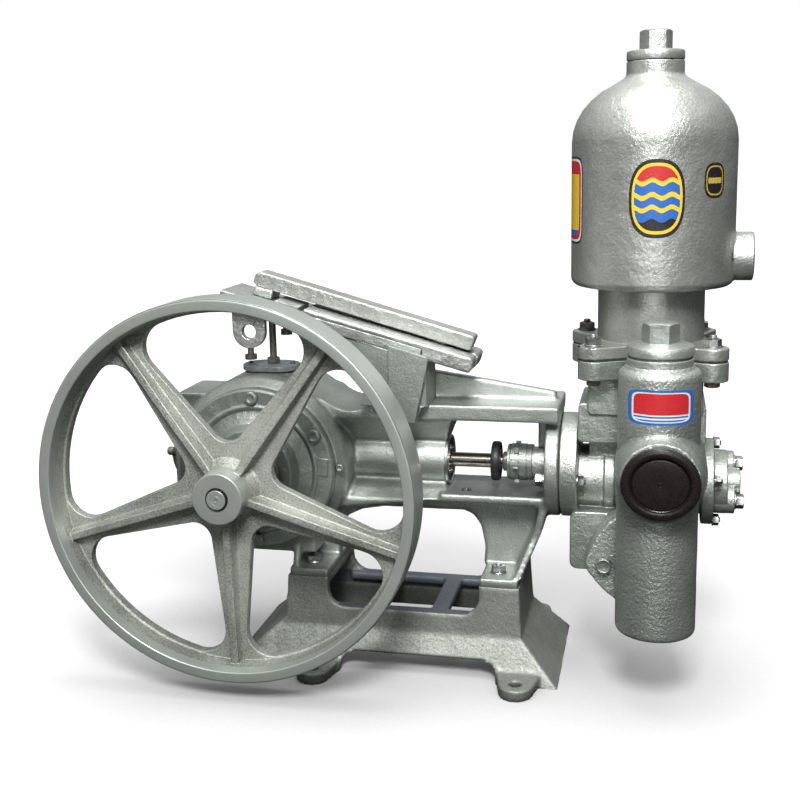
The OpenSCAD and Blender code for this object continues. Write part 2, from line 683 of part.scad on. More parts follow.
// Pump end: cylinder barrel and valve chests
cyl_x0 = joint_x + gasket_t;
cyl_flange_t = 18;
barrel_at = [0, 0, -13];
barrel_d = 71;
barrel_ring = [378, 389];
barrel_ring_d = 75;
end_x = 491;
end_flange_d = 92;
end_flange_t = 12;
chest_y = 46;
chest_depth = [-48, 34];
chest_left = 361;
chest_right = 477;
chest_low_left = 351;
chest_low_y = 44;
chest_low = [36, 78];
chest_z0 = 67;
lower_x = [343, 470];
lower_z = [-104, -40];
lower_r = 8;
joint_flange_t = 19;
// Places of the bolts round the vessel's axis
neck_ears = [[62, -54], [54, 60], [-56, -58], [-69, 46]];
lobe_r = 16;
lobe_root = 42;
chamber_joint_y = 64;
chamber_flange_y = 80;
chamber_ear = [381, -84];
chamber_ear_r = 19;
chamber_ring = [tube_x - 13, -78];
chamber_ring_r = 53;
module flange_outline(d, r) {
    circle(d = d);
    for (at = neck_ears) link([0, 0], lobe_root, at, r);
}
module chamber_outline() { link(chamber_ear, chamber_ear_r, chamber_ring, chamber_ring_r); }
module rounded_plate(x, z, r) {
    polygon(concat(arc([x[1] - r, z[1] - r], r, 0, 90, 4), arc([x[0] + r, z[1] - r], r, 90, 180, 4),
        arc([x[0] + r, z[0] + r], r, 180, 270, 4), arc([x[1] - r, z[0] + r], r, 270, 360, 4)));
}
module pump_cylinder() color("silver") at_crank() difference() {
    union() {
        bar_x(flange_d, cyl_x0, cyl_x0 + cyl_flange_t);
        // Barrel, its ring and its end flange
        translate(barrel_at) {
            bar_x(barrel_d, cyl_x0 + 2, end_x - 1);
            bar_x(barrel_ring_d, barrel_ring[0], barrel_ring[1]);
            bar_x(end_flange_d, end_x - end_flange_t, end_x);
        }
        // Upper valve chest and its flange
        side_plate(chest_depth[0], chest_depth[1])
            rounded_plate([chest_left, chest_right], [chest_z0, neck_z - joint_flange_t], 4);
        side_plate(-chest_low_y, chest_low_y) rounded_plate([chest_low_left, chest_right + 4], chest_low, 4);
        side_plate(-chest_low_y / 2, chest_low_y / 2)
            rounded_plate([chest_left, chest_right], [0, chest_z0], 4);
        translate([vessel_x, 0, joint_under]) linear_extrude(joint_flange_t + 1)
            flange_outline(neck_d + 6, lobe_r);
        // Lower chest, and the flange that meets the suction chamber
        side_plate(-chest_y, chest_y) rounded_plate(lower_x, lower_z, lower_r);
        side_plate(-chamber_joint_y, -chest_y + 1) chamber_outline();
    }
    bar_x(box_neck_d + seat_gap, cyl_x0 - 1, cyl_x0 + box_past + 1);
    bar_x(rod_d + 1.4, cyl_x0 + box_past, rod_x1 + 3);
}
cover_disc = 68;
cover_disc_t = 14;
pad_d = 30;
pad_out = 8;
pad_reach = 21;
cap_boss_d = 30;
cap_boss_out = 28;
flange_nut_r = 41;
module end_cover() color("silver") at_crank() translate(barrel_at) {
    bar_x(cover_disc, end_x, end_x + cover_disc_t);
    bar_x(cap_boss_d, end_x + 1, end_x + cap_boss_out);
    for (a = [45, 225]) rotate([a, 0, 0]) translate([0, pad_reach, 0])
        bar_x(pad_d, end_x + 1, end_x + cover_disc_t + pad_out);
}
pad_bolt = [14, 9];
pad_bolt_off = 2;
flange_nut = [11, 7];
module end_bolt_set() color("gray") at_crank() translate(barrel_at) {
    for (a = [45, 225]) rotate([a, 0, 0])
        translate([end_x + cover_disc_t + pad_out, pad_reach + pad_bolt_off, 0]) rotate([0, 90, 0])
            hex_head(pad_bolt[0], pad_bolt[1]);
    for (a = [74, 164, 254, 344]) rotate([a, 0, 0]) translate([end_x, flange_nut_r, 0])
        rotate([0, 90, 0]) hex_head(flange_nut[0], flange_nut[1]);
}
tube_r = tube_d / 2;
tube_bottom = -142;
tube_top = 131;
tube_cap_r = tube_r - 8.5;
tube_collar = 8.5;
port_x = tube_x + port_right;
port_face = tube_y + tube_r + 12;
port_boss_r = 45;
port_rim_r = 38.5;
tube_bore = tube_d - 2 * vessel_wall;
module suction_chamber() color("silver") at_crank() difference() {
    union() {
        translate([tube_x, -tube_y, 0]) rotate_extrude() polygon(concat([[0, tube_bottom]],
            arc([tube_r - 4, tube_bottom + 4], 4, -90, 0, 4), arc([tube_r - 7, tube_top - 9], 7, 0, 70, 4),
            [[tube_cap_r, tube_top], [tube_cap_r, tube_top + tube_collar], [0, tube_top + tube_collar]]));
        // Boss of the suction port
        translate([port_x, 0, port_z]) rotate([90, 0, 0]) rotate_extrude() polygon([[0, chamber_joint_y],
            [port_boss_r, chamber_joint_y], [port_boss_r, tube_y + 22], [port_rim_r + 3, port_face - 12],
            [port_rim_r, port_face - 5], [port_rim_r, port_face], [0, port_face]]);
        side_plate(-chamber_flange_y, -chamber_joint_y) chamber_outline();
    }
    translate([tube_x, -tube_y, 0]) bar_z(tube_bore, tube_bottom + vessel_wall, tube_top + tube_collar + 1);
    translate([port_x, 0, port_z]) bar_y(port_d - 2 * vessel_wall, -port_face - 1, -tube_y);
    // Flat back, where the chamber meets the pump
    block([0, -chamber_joint_y, -through], [tube_x * 2, through, through]);
}
plug_groove = 2;
plug_disc_t = 12;
chamber_hex = [32, 20];
module chamber_plug() color("silver") at_crank() translate([tube_x, -tube_y, tube_top + tube_collar]) {
    cylinder(r = tube_cap_r - 1.5, h = plug_groove);
    translate([0, 0, plug_groove - e]) cylinder(r = tube_cap_r + 1, h = plug_disc_t);
    translate([0, 0, plug_groove + plug_disc_t - 2 * e]) hex_head(chamber_hex[0], chamber_hex[1]);
}
cap_t = 10;
cap_rim = 9.5;
cap_dish = 2.5;
module port_cap() color("black") at_crank() translate([port_x, 0, port_z]) difference() {
    bar_y(port_d, -port_face - cap_t, -port_face);
    bar_y(port_d - 2 * cap_rim, -port_face - cap_t - 1, -port_face - cap_t + cap_dish);
}
chamber_bolt = [16, 8];
module chamber_bolt_set() color("gray") at_crank() translate([chamber_ear[0], 0, chamber_ear[1]])
    bar_y(chamber_bolt[0], -chamber_flange_y - chamber_bolt[1], -chamber_flange_y);

// Air vessel on its necked flange
neck_gasket_t = 1.5;
module neck_gasket() color("black") at_crank() translate([vessel_x, 0, neck_z - 1])
    linear_extrude(neck_gasket_t) flange_outline(neck_d + 4, lobe_r - 1);
vessel_r = vessel_d / 2;
neck_up = neck_z - 1 + neck_gasket_t;
upper_flange_t = 13;
hem_r = 8;
dome_z = vessel_z0 + vessel_wall_h;
collar_r = 29;
collar_z = dome_z + dome_h - 3;
collar_h = 17;
delivery_z = 228;
delivery_d = 50;
delivery_out = 18;
delivery_bore = 39;
delivery_len = 24;
// Quarter of an ellipse from the wall towards the crown
function dome(r, h, z) = [for (a = [0:10:60]) [r * cos(a), z + h * sin(a)]];
module air_vessel() color("silver") at_crank() translate([vessel_x, 0, 0]) difference() {
    union() {
        rotate_extrude($fn = round_fn) polygon(concat([[0, vessel_z0]],
            arc([vessel_r - hem_r, vessel_z0 + hem_r], hem_r, -90, 0, 4), dome(vessel_r, dome_h, dome_z),
            [[collar_r + 3, collar_z], [collar_r, collar_z + 3], [collar_r, collar_z + collar_h],
            [0, collar_z + collar_h]]));
        bar_z(neck_d, neck_up + upper_flange_t - 1, vessel_z0 + 1);
        translate([0, 0, neck_up]) linear_extrude(upper_flange_t) flange_outline(neck_d + 6, lobe_r);
        // Delivery boss
        translate([0, 0, delivery_z]) bar_x(delivery_d, vessel_r - 20, vessel_r + delivery_out);
    }
    rotate_extrude() polygon(concat([[0, vessel_z0 + vessel_wall],
        [vessel_r - vessel_wall, vessel_z0 + vessel_wall]],
        dome(vessel_r - vessel_wall, dome_h - vessel_wall, dome_z), [[0, dome_z + dome_h - 2 * vessel_wall]]));
    bar_z(neck_d - 2 * vessel_wall, neck_up - 1, vessel_z0 + vessel_wall + 1);
    translate([0, 0, delivery_z]) {
        bar_x(delivery_bore, vessel_r + delivery_out - delivery_len, vessel_r + delivery_out + 1);
        bar_x(delivery_bore - 5, 0, vessel_r);
    }
}
plug_t = 10;
vessel_hex = [29, 21];
neck_nut = [16, 8];
neck_nut_under = [14, 7];
module vessel_plug() color("silver") at_crank() translate([vessel_x, 0, collar_z + collar_h]) {
    cylinder(r = collar_r, h = plug_t);
    translate([0, 0, plug_t - e]) hex_head(vessel_hex[0], vessel_hex[1] - 1);
}
// The joint flange's underside is 2 mm under its stated thickness
joint_under = neck_z - joint_flange_t - 2;
module neck_bolt_set() color("gray") at_crank() translate([vessel_x, 0, 0]) for (at = neck_ears)
    translate([at[0], at[1], 0]) {
        translate([0, 0, neck_up + upper_flange_t]) hex_head(neck_nut[0], neck_nut[1]);
        translate([0, 0, joint_under - neck_nut_under[1]]) hex_head(neck_nut_under[0], neck_nut_under[1]);
    }

stand();
frame();
crankcase_cover();
cover_bolt_set();
bearing_ring();
crankshaft();
flywheel();
inspection_plate();
support_screw();
motor_bracket();
platform_plate();
front_rail();
middle_rail();
upper_rail();
rail_pad();
ear_screw();
platform_bolt();
filler_plug();
foot_bolt_set();
guide_ring();
piston_rod();
slinger_ring();
stuffing_box();
gland_nut();
joint_gasket();
flange_bolt_set();
pump_cylinder();
end_cover();
end_bolt_set();
suction_chamber();
chamber_plug();
port_cap();
chamber_bolt_set();
neck_gasket();
air_vessel();
vessel_plug();
neck_bolt_set();
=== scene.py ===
# %% [markdown]
# A small belt-driven piston pump, dressed over its CAD solids.
# The solids come in as a fixed frame in metres. This lesson gives each casting its rounded
# edges and paint, swaps the plain fasteners for real ones, and adds the small fittings.

# %% Load the frame
import json
import math
import bpy
import bmesh
from mathutils import Matrix, Vector

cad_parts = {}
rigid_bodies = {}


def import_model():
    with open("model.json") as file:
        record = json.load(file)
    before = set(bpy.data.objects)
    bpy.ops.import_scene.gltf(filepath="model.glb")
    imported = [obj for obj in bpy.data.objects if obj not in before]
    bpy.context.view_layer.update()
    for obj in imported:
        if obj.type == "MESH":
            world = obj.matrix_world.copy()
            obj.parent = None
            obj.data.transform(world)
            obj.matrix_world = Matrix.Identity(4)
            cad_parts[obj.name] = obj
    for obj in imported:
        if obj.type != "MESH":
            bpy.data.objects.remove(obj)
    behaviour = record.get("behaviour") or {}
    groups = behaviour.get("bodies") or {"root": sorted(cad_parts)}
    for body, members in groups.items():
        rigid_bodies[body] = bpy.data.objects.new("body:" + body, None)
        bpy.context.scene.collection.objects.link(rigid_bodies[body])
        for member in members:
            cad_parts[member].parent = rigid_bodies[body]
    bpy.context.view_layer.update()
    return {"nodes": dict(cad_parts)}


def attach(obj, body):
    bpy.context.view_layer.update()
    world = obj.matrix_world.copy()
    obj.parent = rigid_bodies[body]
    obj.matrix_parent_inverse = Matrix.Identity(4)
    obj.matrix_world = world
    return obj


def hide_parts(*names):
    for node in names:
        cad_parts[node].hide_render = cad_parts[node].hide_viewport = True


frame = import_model()
nodes = frame["nodes"]

# %% [markdown]
# Drawings of a pump are measured from its crankshaft, so the sizes below are in millimetres
# from the crankshaft's axis, in the plane of the piston rod. One helper turns them into metres
# above the floor. Another stands a piece up along any direction, which suits bolts and plugs,
# and a third finds a place on a circle of bolts.

# %% Measures from the crankshaft
SHAFT_LEFT, SHAFT_UP, MM = 180, 226, 0.001
LEFT, RIGHT, FRONT, UP, DOWN = (-1, 0, 0), (1, 0, 0), (0, -1, 0), (0, 0, 1), (0, 0, -1)


def at(x, y, z):
    return Vector((x - SHAFT_LEFT, y, z + SHAFT_UP)) * MM


def standing(point, direction, turn=0.0):
    facing = Vector(direction).to_track_quat("Z", "Y").to_matrix().to_4x4()
    spin = Matrix.Rotation(math.radians(turn), 4, "Z")
    return Matrix.Translation(at(*point)) @ facing @ spin @ Matrix.Scale(MM, 4)


def on_circle(radius, degrees):
    angle = math.radians(degrees)
    return radius * math.cos(angle), radius * math.sin(angle)


print("shaft at", tuple(round(v, 3) for v in at(0, 0, 0)))

# %% [markdown]
# The camera stands to the right of the pump and looks slightly left and down, as the
# photographer did. The lens and the three angles were worked out from the edges that run
# along, across and up the pump, and the small shift is the photograph's own framing.

# %% Camera
CAMERA_AT = (0.25025, -1.21339, 0.56835)
YAW, PITCH, ROLL = (math.radians(a) for a in (12.997, 10.731, 1.264))
FOCAL_LENGTH, SENSOR_WIDTH, SHIFT = 50.97, 36, -0.04375


def camera_axes():
    ahead = Vector((-math.sin(YAW) * math.cos(PITCH), math.cos(YAW) * math.cos(PITCH),
                    -math.sin(PITCH)))
    level = Vector((math.cos(YAW), math.sin(YAW), 0))
    below = ahead.cross(level)
    right = math.cos(ROLL) * level + math.sin(ROLL) * below
    down = math.cos(ROLL) * below - math.sin(ROLL) * level
    return right, -down, -ahead


lens = bpy.data.cameras.new("photo_camera")
lens.lens, lens.sensor_width, lens.shift_y = FOCAL_LENGTH, SENSOR_WIDTH, SHIFT
lens.clip_start, lens.clip_end = 0.05, 60
camera = bpy.data.objects.new("photo_camera", lens)
bpy.context.scene.collection.objects.link(camera)
camera.matrix_world = (Matrix.Translation(CAMERA_AT)
                       @ Matrix(camera_axes()).transposed().to_4x4())
bpy.context.scene.camera = camera
print("camera", tuple(round(v, 3) for v in camera.location))

# %% [markdown]
# A material in Blender is a tree of nodes: patterns, sums and ramps of colour that end in one
# shader. Joining them one by one repeats the same few lines, so these helpers add a node,
# start a material, run a ramp, do one step of arithmetic and mix two colours.

# %% Helpers for trees of nodes
def add(tree, kind, inputs=(), **settings):
    """One node of a tree; inputs are numbers, colours or other nodes' outputs."""
    made = tree.nodes.new("ShaderNode" + kind)
    for key, value in settings.items():
        setattr(made, key, value)
    for key, value in dict(inputs).items():
        if isinstance(value, bpy.types.NodeSocket):
            tree.links.new(value, made.inputs[key])
        else:
            made.inputs[key].default_value = value
    return made


def new_material(name, constants=()):
    """A material with its tree and shader; constants sit on the shader's own sockets."""
    material = bpy.data.materials.new(name)
    material.use_nodes = True
    shader = material.node_tree.nodes["Principled BSDF"]
    for key, value in dict(constants).items():
        shader.inputs[key].default_value = value
    return material, material.node_tree, shader


def ramp(tree, share, *stops):
    made = add(tree, "ValToRGB", {"Fac": share})
    spots = made.color_ramp.elements
    while len(spots) < len(stops):
        spots.new(0.5)
    for spot, (place, colour) in zip(spots, stops):
        spot.position, spot.color = place, (*colour, 1)
    return made.outputs["Color"]


def reckon(tree, operation, first, second=0.0, clamp=False):
    made = add(tree, "Math", {0: first, 1: second}, operation=operation, use_clamp=clamp)
    return made.outputs[0]


def mix(tree, share, first, second, how="MIX"):
    made = add(tree, "Mix", {0: share, 6: first, 7: second}, data_type="RGBA", blend_type=how)
    return made.outputs[2]


def grey(value):
    return (value, value, value)


print("helpers", [helper.__name__ for helper in (add, new_material, ramp, reckon, mix, grey)])

# %% [markdown]
# The pump was photographed on plain white, yet metal only looks like metal when it has
# something dark to mirror. So the room has two faces. The camera sees a white wall, while the
# pump is lit by a room that goes from nearly black at the floor to bright at the ceiling.

# %% Room
ROOM_TONES = ((0.30, 0.02), (0.50, 0.07), (0.65, 0.14), (0.88, 0.70))

room = bpy.data.worlds.new("studio_room")
room.use_nodes = True
sky = room.node_tree
toward = add(sky, "SeparateXYZ", {"Vector": add(sky, "TexCoord").outputs["Generated"]})
height = reckon(sky, "ADD", reckon(sky, "MULTIPLY", toward.outputs["Z"], 0.5), 0.5)
tones = ramp(sky, height, *((place, grey(tone)) for place, tone in ROOM_TONES))
sky.links.new(tones, sky.nodes["Background"].inputs["Color"])
white_wall = add(sky, "Background", {"Color": (1.0, 1.0, 1.0, 1), "Strength": 1.0})
seen = add(sky, "MixShader", {0: add(sky, "LightPath").outputs["Is Camera Ray"],
                              1: sky.nodes["Background"].outputs[0],
                              2: white_wall.outputs[0]})
sky.links.new(seen.outputs[0], sky.nodes["World Output"].inputs["Surface"])
bpy.context.scene.world = room
bpy.context.scene.view_settings.view_transform = "Standard"
print("tones of the room", len(ROOM_TONES))

# %% [markdown]
# The floor is one wide sheet that runs on to the white wall. It glows, and more so far from
# the pump, which hides where it ends. Where the pump closes it in, ambient occlusion takes
# the glow away and leaves the soft shadow under a thing that is lit from all around. The
# sheet is kept out of the metal's reflections, so that the castings stay dark below.

# %% Floor
FLOOR_REACH, SHADOW_REACH = 30, 0.3
FLOOR_GLOW = ((0.1, grey(0.45)), (0.6, grey(1.0)))
FLOOR_SHADOW = ((0.25, grey(0.06)), (0.6, grey(0.4)), (0.98, grey(1.0)))

floor_form = bmesh.new()
bmesh.ops.create_grid(floor_form, x_segments=4, y_segments=4, size=FLOOR_REACH)
floor_mesh = bpy.data.meshes.new("floor")
floor_form.to_mesh(floor_mesh)
floor_form.free()
floor = bpy.data.objects.new("floor", floor_mesh)
bpy.context.scene.collection.objects.link(floor)
pale, tree, shader = new_material("pale_floor", {
    "Base Color": (0.42, 0.42, 0.42, 1), "Roughness": 0.8, "Specular IOR Level": 0.0,
    "Emission Strength": 1.0})
away = add(tree, "VectorMath", {0: add(tree, "TexCoord").outputs["Object"]},
           operation="LENGTH").outputs["Value"]
glow = ramp(tree, reckon(tree, "MULTIPLY", away, 0.3), *FLOOR_GLOW)
closed_in = add(tree, "AmbientOcclusion", {"Distance": SHADOW_REACH}, samples=8).outputs["AO"]
dimmed = mix(tree, 1.0, glow, ramp(tree, closed_in, *FLOOR_SHADOW), "MULTIPLY")
tree.links.new(dimmed, shader.inputs["Emission Color"])
floor_mesh.materials.append(pale)
floor.visible_diffuse = floor.visible_glossy = False
print("floor", FLOOR_REACH * 2, "m across")

# %% [markdown]
# The photograph's light comes from nearly where the camera stands, a little above it: each
# upright cylinder is brightest down its middle and falls off to both sides. A softbox over
# the camera gives that. A small low one opens up the suction tube and the stand, and one
# overhead whitens the tops. A strip on the left and a panel behind only draw the edges.

# %% Lights
PUMP_MIDDLE = (0.05, 0, 0.3)
LIGHTS = {
    "key_softbox": ((0.30, -1.65, 1.85), PUMP_MIDDLE, (0.6, 0.6), 69),
    "low_softbox": ((0.30, -1.80, 0.50), (0.05, 0, 0.25), (0.35, 0.5), 3.5),
    "top_softbox": ((0.1, -0.05, 2.3), PUMP_MIDDLE, (1.2, 0.7), 20),
    "left_strip": ((-1.9, -0.7, 1.0), (0.1, 0, 0.3), (0.3, 1.4), 2),
    "back_fill": ((0.5, 2.2, 1.3), (0.1, 0, 0.3), (1.4, 1.0), 2),
}


def area_light(name, place, target, size, power):
    lamp = bpy.data.lights.new(name, "AREA")
    lamp.shape, lamp.size, lamp.size_y = "RECTANGLE", size[0], size[1]
    lamp.energy = power
    shown = bpy.data.objects.new(name, lamp)
    bpy.context.scene.collection.objects.link(shown)
    shown.location = place
    shown.rotation_euler = (Vector(target) - Vector(place)).to_track_quat("-Z", "Y").to_euler()


for name, settings in LIGHTS.items():
    area_light(name, *settings)
print("lights", len(LIGHTS))

# %% [markdown]
# Every skin on the pump is made of the same few patterns. Noise in the piece's own
# coordinates gives clouds and grit that stay put when the piece moves. Crevices are painted
# darker by ambient occlusion: painted shade, with the dirt that gathers there. The same grit
# then sets how dull each spot is and pushes the surface in and out.

# %% Patterns on a surface
def coordinates(tree):
    return add(tree, "TexCoord").outputs["Object"]


def noise_of(tree, where, scale, detail, rough=0.6):
    return add(tree, "TexNoise", {"Vector": where, "Scale": scale, "Detail": detail,
                                  "Roughness": rough}).outputs["Fac"]


def crevice_shade(tree, coat, reach=0.02, deepest=0.45):
    """The coat, darker wherever other surfaces close it in: painted shade from ambient
    occlusion.
    """
    shade = add(tree, "AmbientOcclusion", {"Distance": reach}, samples=4).outputs["AO"]
    dark = ramp(tree, shade, (0.15, grey(deepest)), (0.75, grey(1.0)))
    return mix(tree, 1.0, coat, dark, "MULTIPLY")


def dulled(tree, shader, pattern, gloss):
    """Roughness that follows a pattern: gloss holds the value on its peaks, then between."""
    dull = ramp(tree, pattern, (0.3, grey(gloss[1])), (0.7, grey(gloss[0])))
    tree.links.new(dull, shader.inputs["Roughness"])


def bumped(tree, shader, pattern, strength, distance, on_top_of=()):
    bumps = add(tree, "Bump", {"Strength": strength, "Distance": distance, "Height": pattern,
                               **dict(on_top_of)})
    tree.links.new(bumps.outputs["Normal"], shader.inputs["Normal"])


print("patterns", [pattern.__name__ for pattern in (noise_of, crevice_shade, dulled, bumped)])

# %% [markdown]
# The floor of the lantern and the top of the stand's saddle are painted a darker slate grey
# in place of the silver coat: a slate tint darkened into painted shade for these hollows.
# They belong to large castings, so the paint finds them by place: everything inside a box,
# given in millimetres along the frame's own axes, takes the slate tone.

# %% Painted slate shade inside a box
def inside_box(tree, where, low, high):
    parts = add(tree, "SeparateXYZ", {"Vector": where})
    share = None
    for way, least, most in zip("XYZ", low, high):
        over = reckon(tree, "GREATER_THAN", parts.outputs[way], least * MM)
        under = reckon(tree, "LESS_THAN", parts.outputs[way], most * MM)
        both = reckon(tree, "MULTIPLY", over, under)
        share = both if share is None else reckon(tree, "MULTIPLY", share, both)
    return share


def slate_shade_inside(tree, where, cloud, coat, low, high, slate_shade_tone):
    # Painted shade: a darker slate tone is laid over the coat inside the box.
    streaks = ramp(tree, cloud, (0.3, grey(0.7)), (0.7, grey(1.0)))
    shaded_slate = mix(tree, 1.0, streaks, slate_shade_tone, "MULTIPLY")
    return mix(tree, inside_box(tree, where, low, high), coat, shaded_slate)


# Boxes of painted shade, with their slate tones: the lantern's floor and the saddle's top.
LANTERN_FLOOR_SHADE = ((25, -39, 190), (136, 39, 199), (0.36, 0.385, 0.38, 1))
SADDLE_TOP_SHADE = ((-130, -59, 50), (70, 59, 68), (0.15, 0.17, 0.19, 1))
print("slate places", len((LANTERN_FLOOR_SHADE, SADDLE_TOP_SHADE)))

# %% [markdown]
# The whole pump was cast in sand and brushed with aluminium paint, so its skin is a fine
# grit under a dull metallic grey with a touch of green. One recipe makes it: slow clouds for
# the uneven coat, fine noise for the grit, and a few dark pits where sand stuck to the
# mould. Each casting changes the tone, the grit and the gloss a little.

# %% Paint over a sand casting
PIT_TONE = (0.05, 0.05, 0.045, 1)
SILVER_LIGHT, SILVER_DARK = (0.57, 0.605, 0.555), (0.33, 0.365, 0.33)


def pitted(tree, where, coat):
    cells = add(tree, "TexVoronoi", {"Vector": where, "Scale": 55.0})
    pits = reckon(tree, "MULTIPLY", reckon(tree, "LESS_THAN", cells.outputs["Distance"], 0.045),
                  reckon(tree, "GREATER_THAN", noise_of(tree, where, 40, 2), 0.56))
    return mix(tree, pits, coat, PIT_TONE)


def cast_paint(name, light, dark, metal=0.8, gloss=(0.33, 0.52), grit=520, grit_depth=0.7,
               lumps=70, lump_depth=0.5, slate_shade_box=()):
    material, tree, shader = new_material(name, {"Metallic": metal})
    where = coordinates(tree)
    cloud = noise_of(tree, where, 9, 5)
    grains = noise_of(tree, where, grit, 3, 0.7)
    swell = noise_of(tree, where, lumps, 3)
    tone = reckon(tree, "ADD", reckon(tree, "MULTIPLY", cloud, 0.6),
                  reckon(tree, "MULTIPLY", grains, 0.4))
    coat = pitted(tree, where, ramp(tree, tone, (0.38, dark), (0.60, light)))
    if slate_shade_box:
        coat = slate_shade_inside(tree, where, cloud, coat, *slate_shade_box)
    # Painted shade: ambient occlusion darkens the coat in crevices.
    tree.links.new(crevice_shade(tree, coat), shader.inputs["Base Color"])
    dulled(tree, shader, grains, gloss)
    low = add(tree, "Bump", {"Strength": lump_depth, "Distance": 0.003, "Height": swell})
    bumped(tree, shader, grains, grit_depth, 0.0007, {"Normal": low.outputs["Normal"]})
    return material


pump_paint = cast_paint("pump_paint", SILVER_LIGHT, SILVER_DARK)
vessel_paint = cast_paint("vessel_paint", (0.61, 0.625, 0.585), (0.40, 0.42, 0.385), grit=330,
                          grit_depth=0.75, lump_depth=0.35, gloss=(0.3, 0.48))
tube_paint = cast_paint("tube_paint", SILVER_LIGHT, SILVER_DARK, lumps=280, lump_depth=0.42)
frame_paint = cast_paint("frame_paint", (0.52, 0.555, 0.515), (0.32, 0.35, 0.32),
                         lump_depth=0.25, gloss=(0.36, 0.55), slate_shade_box=LANTERN_FLOOR_SHADE)
# Painted shade: the stand takes a much darker copy of the silver paint, for the shade its faces
# lie in.
stand_paint = cast_paint("stand_paint", (0.32, 0.335, 0.305), (0.16, 0.175, 0.155), grit=380,
                         grit_depth=0.75, lump_depth=0.3, gloss=(0.48, 0.68), metal=0.65,
                         slate_shade_box=SADDLE_TOP_SHADE)
platform_paint = cast_paint("platform_paint", (0.58, 0.60, 0.57), (0.36, 0.38, 0.355),
                            grit=420, lumps=90, lump_depth=0.6)
cover_paint = cast_paint("cover_paint", (0.38, 0.415, 0.38), (0.22, 0.245, 0.22), grit=600)
print("materials with the castings' paints", len(bpy.data.materials))

# %% [markdown]
# The flywheel is one casting with two skins. Its spokes keep the sand's roughness, while the
# front of the rim and the hub were turned flat before painting. The paint tells them apart
# by the distance from the wheel's axis, which stays true while the wheel turns.

# %% Paint of the flywheel
RIM_FROM, HUB_TO = 0.1895, 0.0275


def from_axis(tree, where):
    parts = add(tree, "SeparateXYZ", {"Vector": where})
    x = reckon(tree, "ADD", parts.outputs["X"], SHAFT_LEFT * MM)
    z = reckon(tree, "SUBTRACT", parts.outputs["Z"], SHAFT_UP * MM)
    return reckon(tree, "SQRT", reckon(tree, "ADD", reckon(tree, "MULTIPLY", x, x),
                                       reckon(tree, "MULTIPLY", z, z)))


def wheel_paint():
    material, tree, shader = new_material("wheel_paint", {"Metallic": 0.6})
    where = coordinates(tree)
    away = from_axis(tree, where)
    rim = reckon(tree, "GREATER_THAN", away, RIM_FROM)
    hub = reckon(tree, "LESS_THAN", away, HUB_TO)
    turned_face = reckon(tree, "ADD", rim, hub, clamp=True)
    cloud, grains = noise_of(tree, where, 12, 5), noise_of(tree, where, 480, 3, 0.7)
    tone = reckon(tree, "ADD", reckon(tree, "MULTIPLY", cloud, 0.45),
                  reckon(tree, "MULTIPLY", grains, 0.55))
    sandy = ramp(tree, tone, (0.40, (0.20, 0.213, 0.186)), (0.59, (0.50, 0.522, 0.468)))
    smooth = ramp(tree, cloud, (0.3, (0.41, 0.443, 0.41)), (0.7, (0.51, 0.548, 0.51)))
    # Painted shade: ambient occlusion darkens the wheel's coat in crevices.
    coat = crevice_shade(tree, mix(tree, turned_face, sandy, smooth))
    tree.links.new(coat, shader.inputs["Base Color"])
    dull = mix(tree, turned_face, (*grey(0.5), 1), (*grey(0.38), 1))
    tree.links.new(dull, shader.inputs["Roughness"])
    depth = reckon(tree, "SUBTRACT", 0.9, reckon(tree, "MULTIPLY", turned_face, 0.75))
    bumped(tree, shader, grains, depth, 0.0009)
    return material


flywheel_paint = wheel_paint()
print("turned faces beyond", RIM_FROM, "m and within", HUB_TO, "m")

# %% [markdown]
# Machined and bought-in pieces have skins of their own: a ground rod, turned steel, zinc on
# the new nuts, old oil on the dark ones, rubber and moulded plastic. Each is specks of tone
# and roughness over a plain colour, drawn out along the rod where a tool drew them out.

# %% Bare metal, rubber and plastic
def metal_skin(name, light, dark, gloss, speck=260, stretch=(1, 1, 1), metal=1.0, depth=0.25):
    material, tree, shader = new_material(name, {"Metallic": metal})
    where = add(tree, "Mapping", {"Vector": coordinates(tree), "Scale": stretch})
    specks = noise_of(tree, where.outputs["Vector"], speck, 4, 0.65)
    # Painted shade: ambient occlusion darkens the skin in crevices.
    coat = crevice_shade(tree, ramp(tree, specks, (0.32, dark), (0.62, light)), 0.008, 0.4)
    tree.links.new(coat, shader.inputs["Base Color"])
    dulled(tree, shader, specks, gloss)
    bumped(tree, shader, specks, depth, 0.0004)
    return material


rod_steel = metal_skin("rod_steel", (0.52, 0.47, 0.42), (0.30, 0.26, 0.23), (0.12, 0.28),
                       90, (14, 1, 1), depth=0.05)
turned_steel = metal_skin("turned_steel", (0.50, 0.50, 0.48), (0.28, 0.28, 0.27),
                          (0.22, 0.4), 120, (12, 1, 1), depth=0.1)
zinc = metal_skin("zinc", (0.62, 0.63, 0.62), (0.38, 0.39, 0.38), (0.25, 0.45))
dark_iron = metal_skin("dark_iron", (0.20, 0.19, 0.175), (0.075, 0.07, 0.065), (0.35, 0.6),
                       metal=0.7)
shaft_steel = metal_skin("shaft_steel", grey(0.13), grey(0.05), (0.3, 0.5))
slate = metal_skin("slate_plate", (0.28, 0.305, 0.31), (0.16, 0.18, 0.185), (0.35, 0.55), 140,
                   metal=0.4, depth=0.6)
rubber = metal_skin("black_rubber", (0.02, 0.02, 0.021), (0.008, 0.008, 0.009), (0.4, 0.6),
                    400, metal=0.0, depth=0.3)
fibre = metal_skin("gasket_fibre", (0.05, 0.045, 0.04), (0.02, 0.018, 0.016), (0.7, 0.9),
                   500, metal=0.0, depth=0.6)
plastic = metal_skin("cap_plastic", (0.015, 0.012, 0.011), (0.006, 0.005, 0.0045),
                     (0.2, 0.34), 320, metal=0.0, depth=0.2)
print("materials with the bare skins", len(bpy.data.materials))

# %% [markdown]
# Every CAD solid keeps its own object and takes a finish from this list. The solids that
# stand in for bolts, caps and seals are in it too, though pieces made further down will
# replace them.

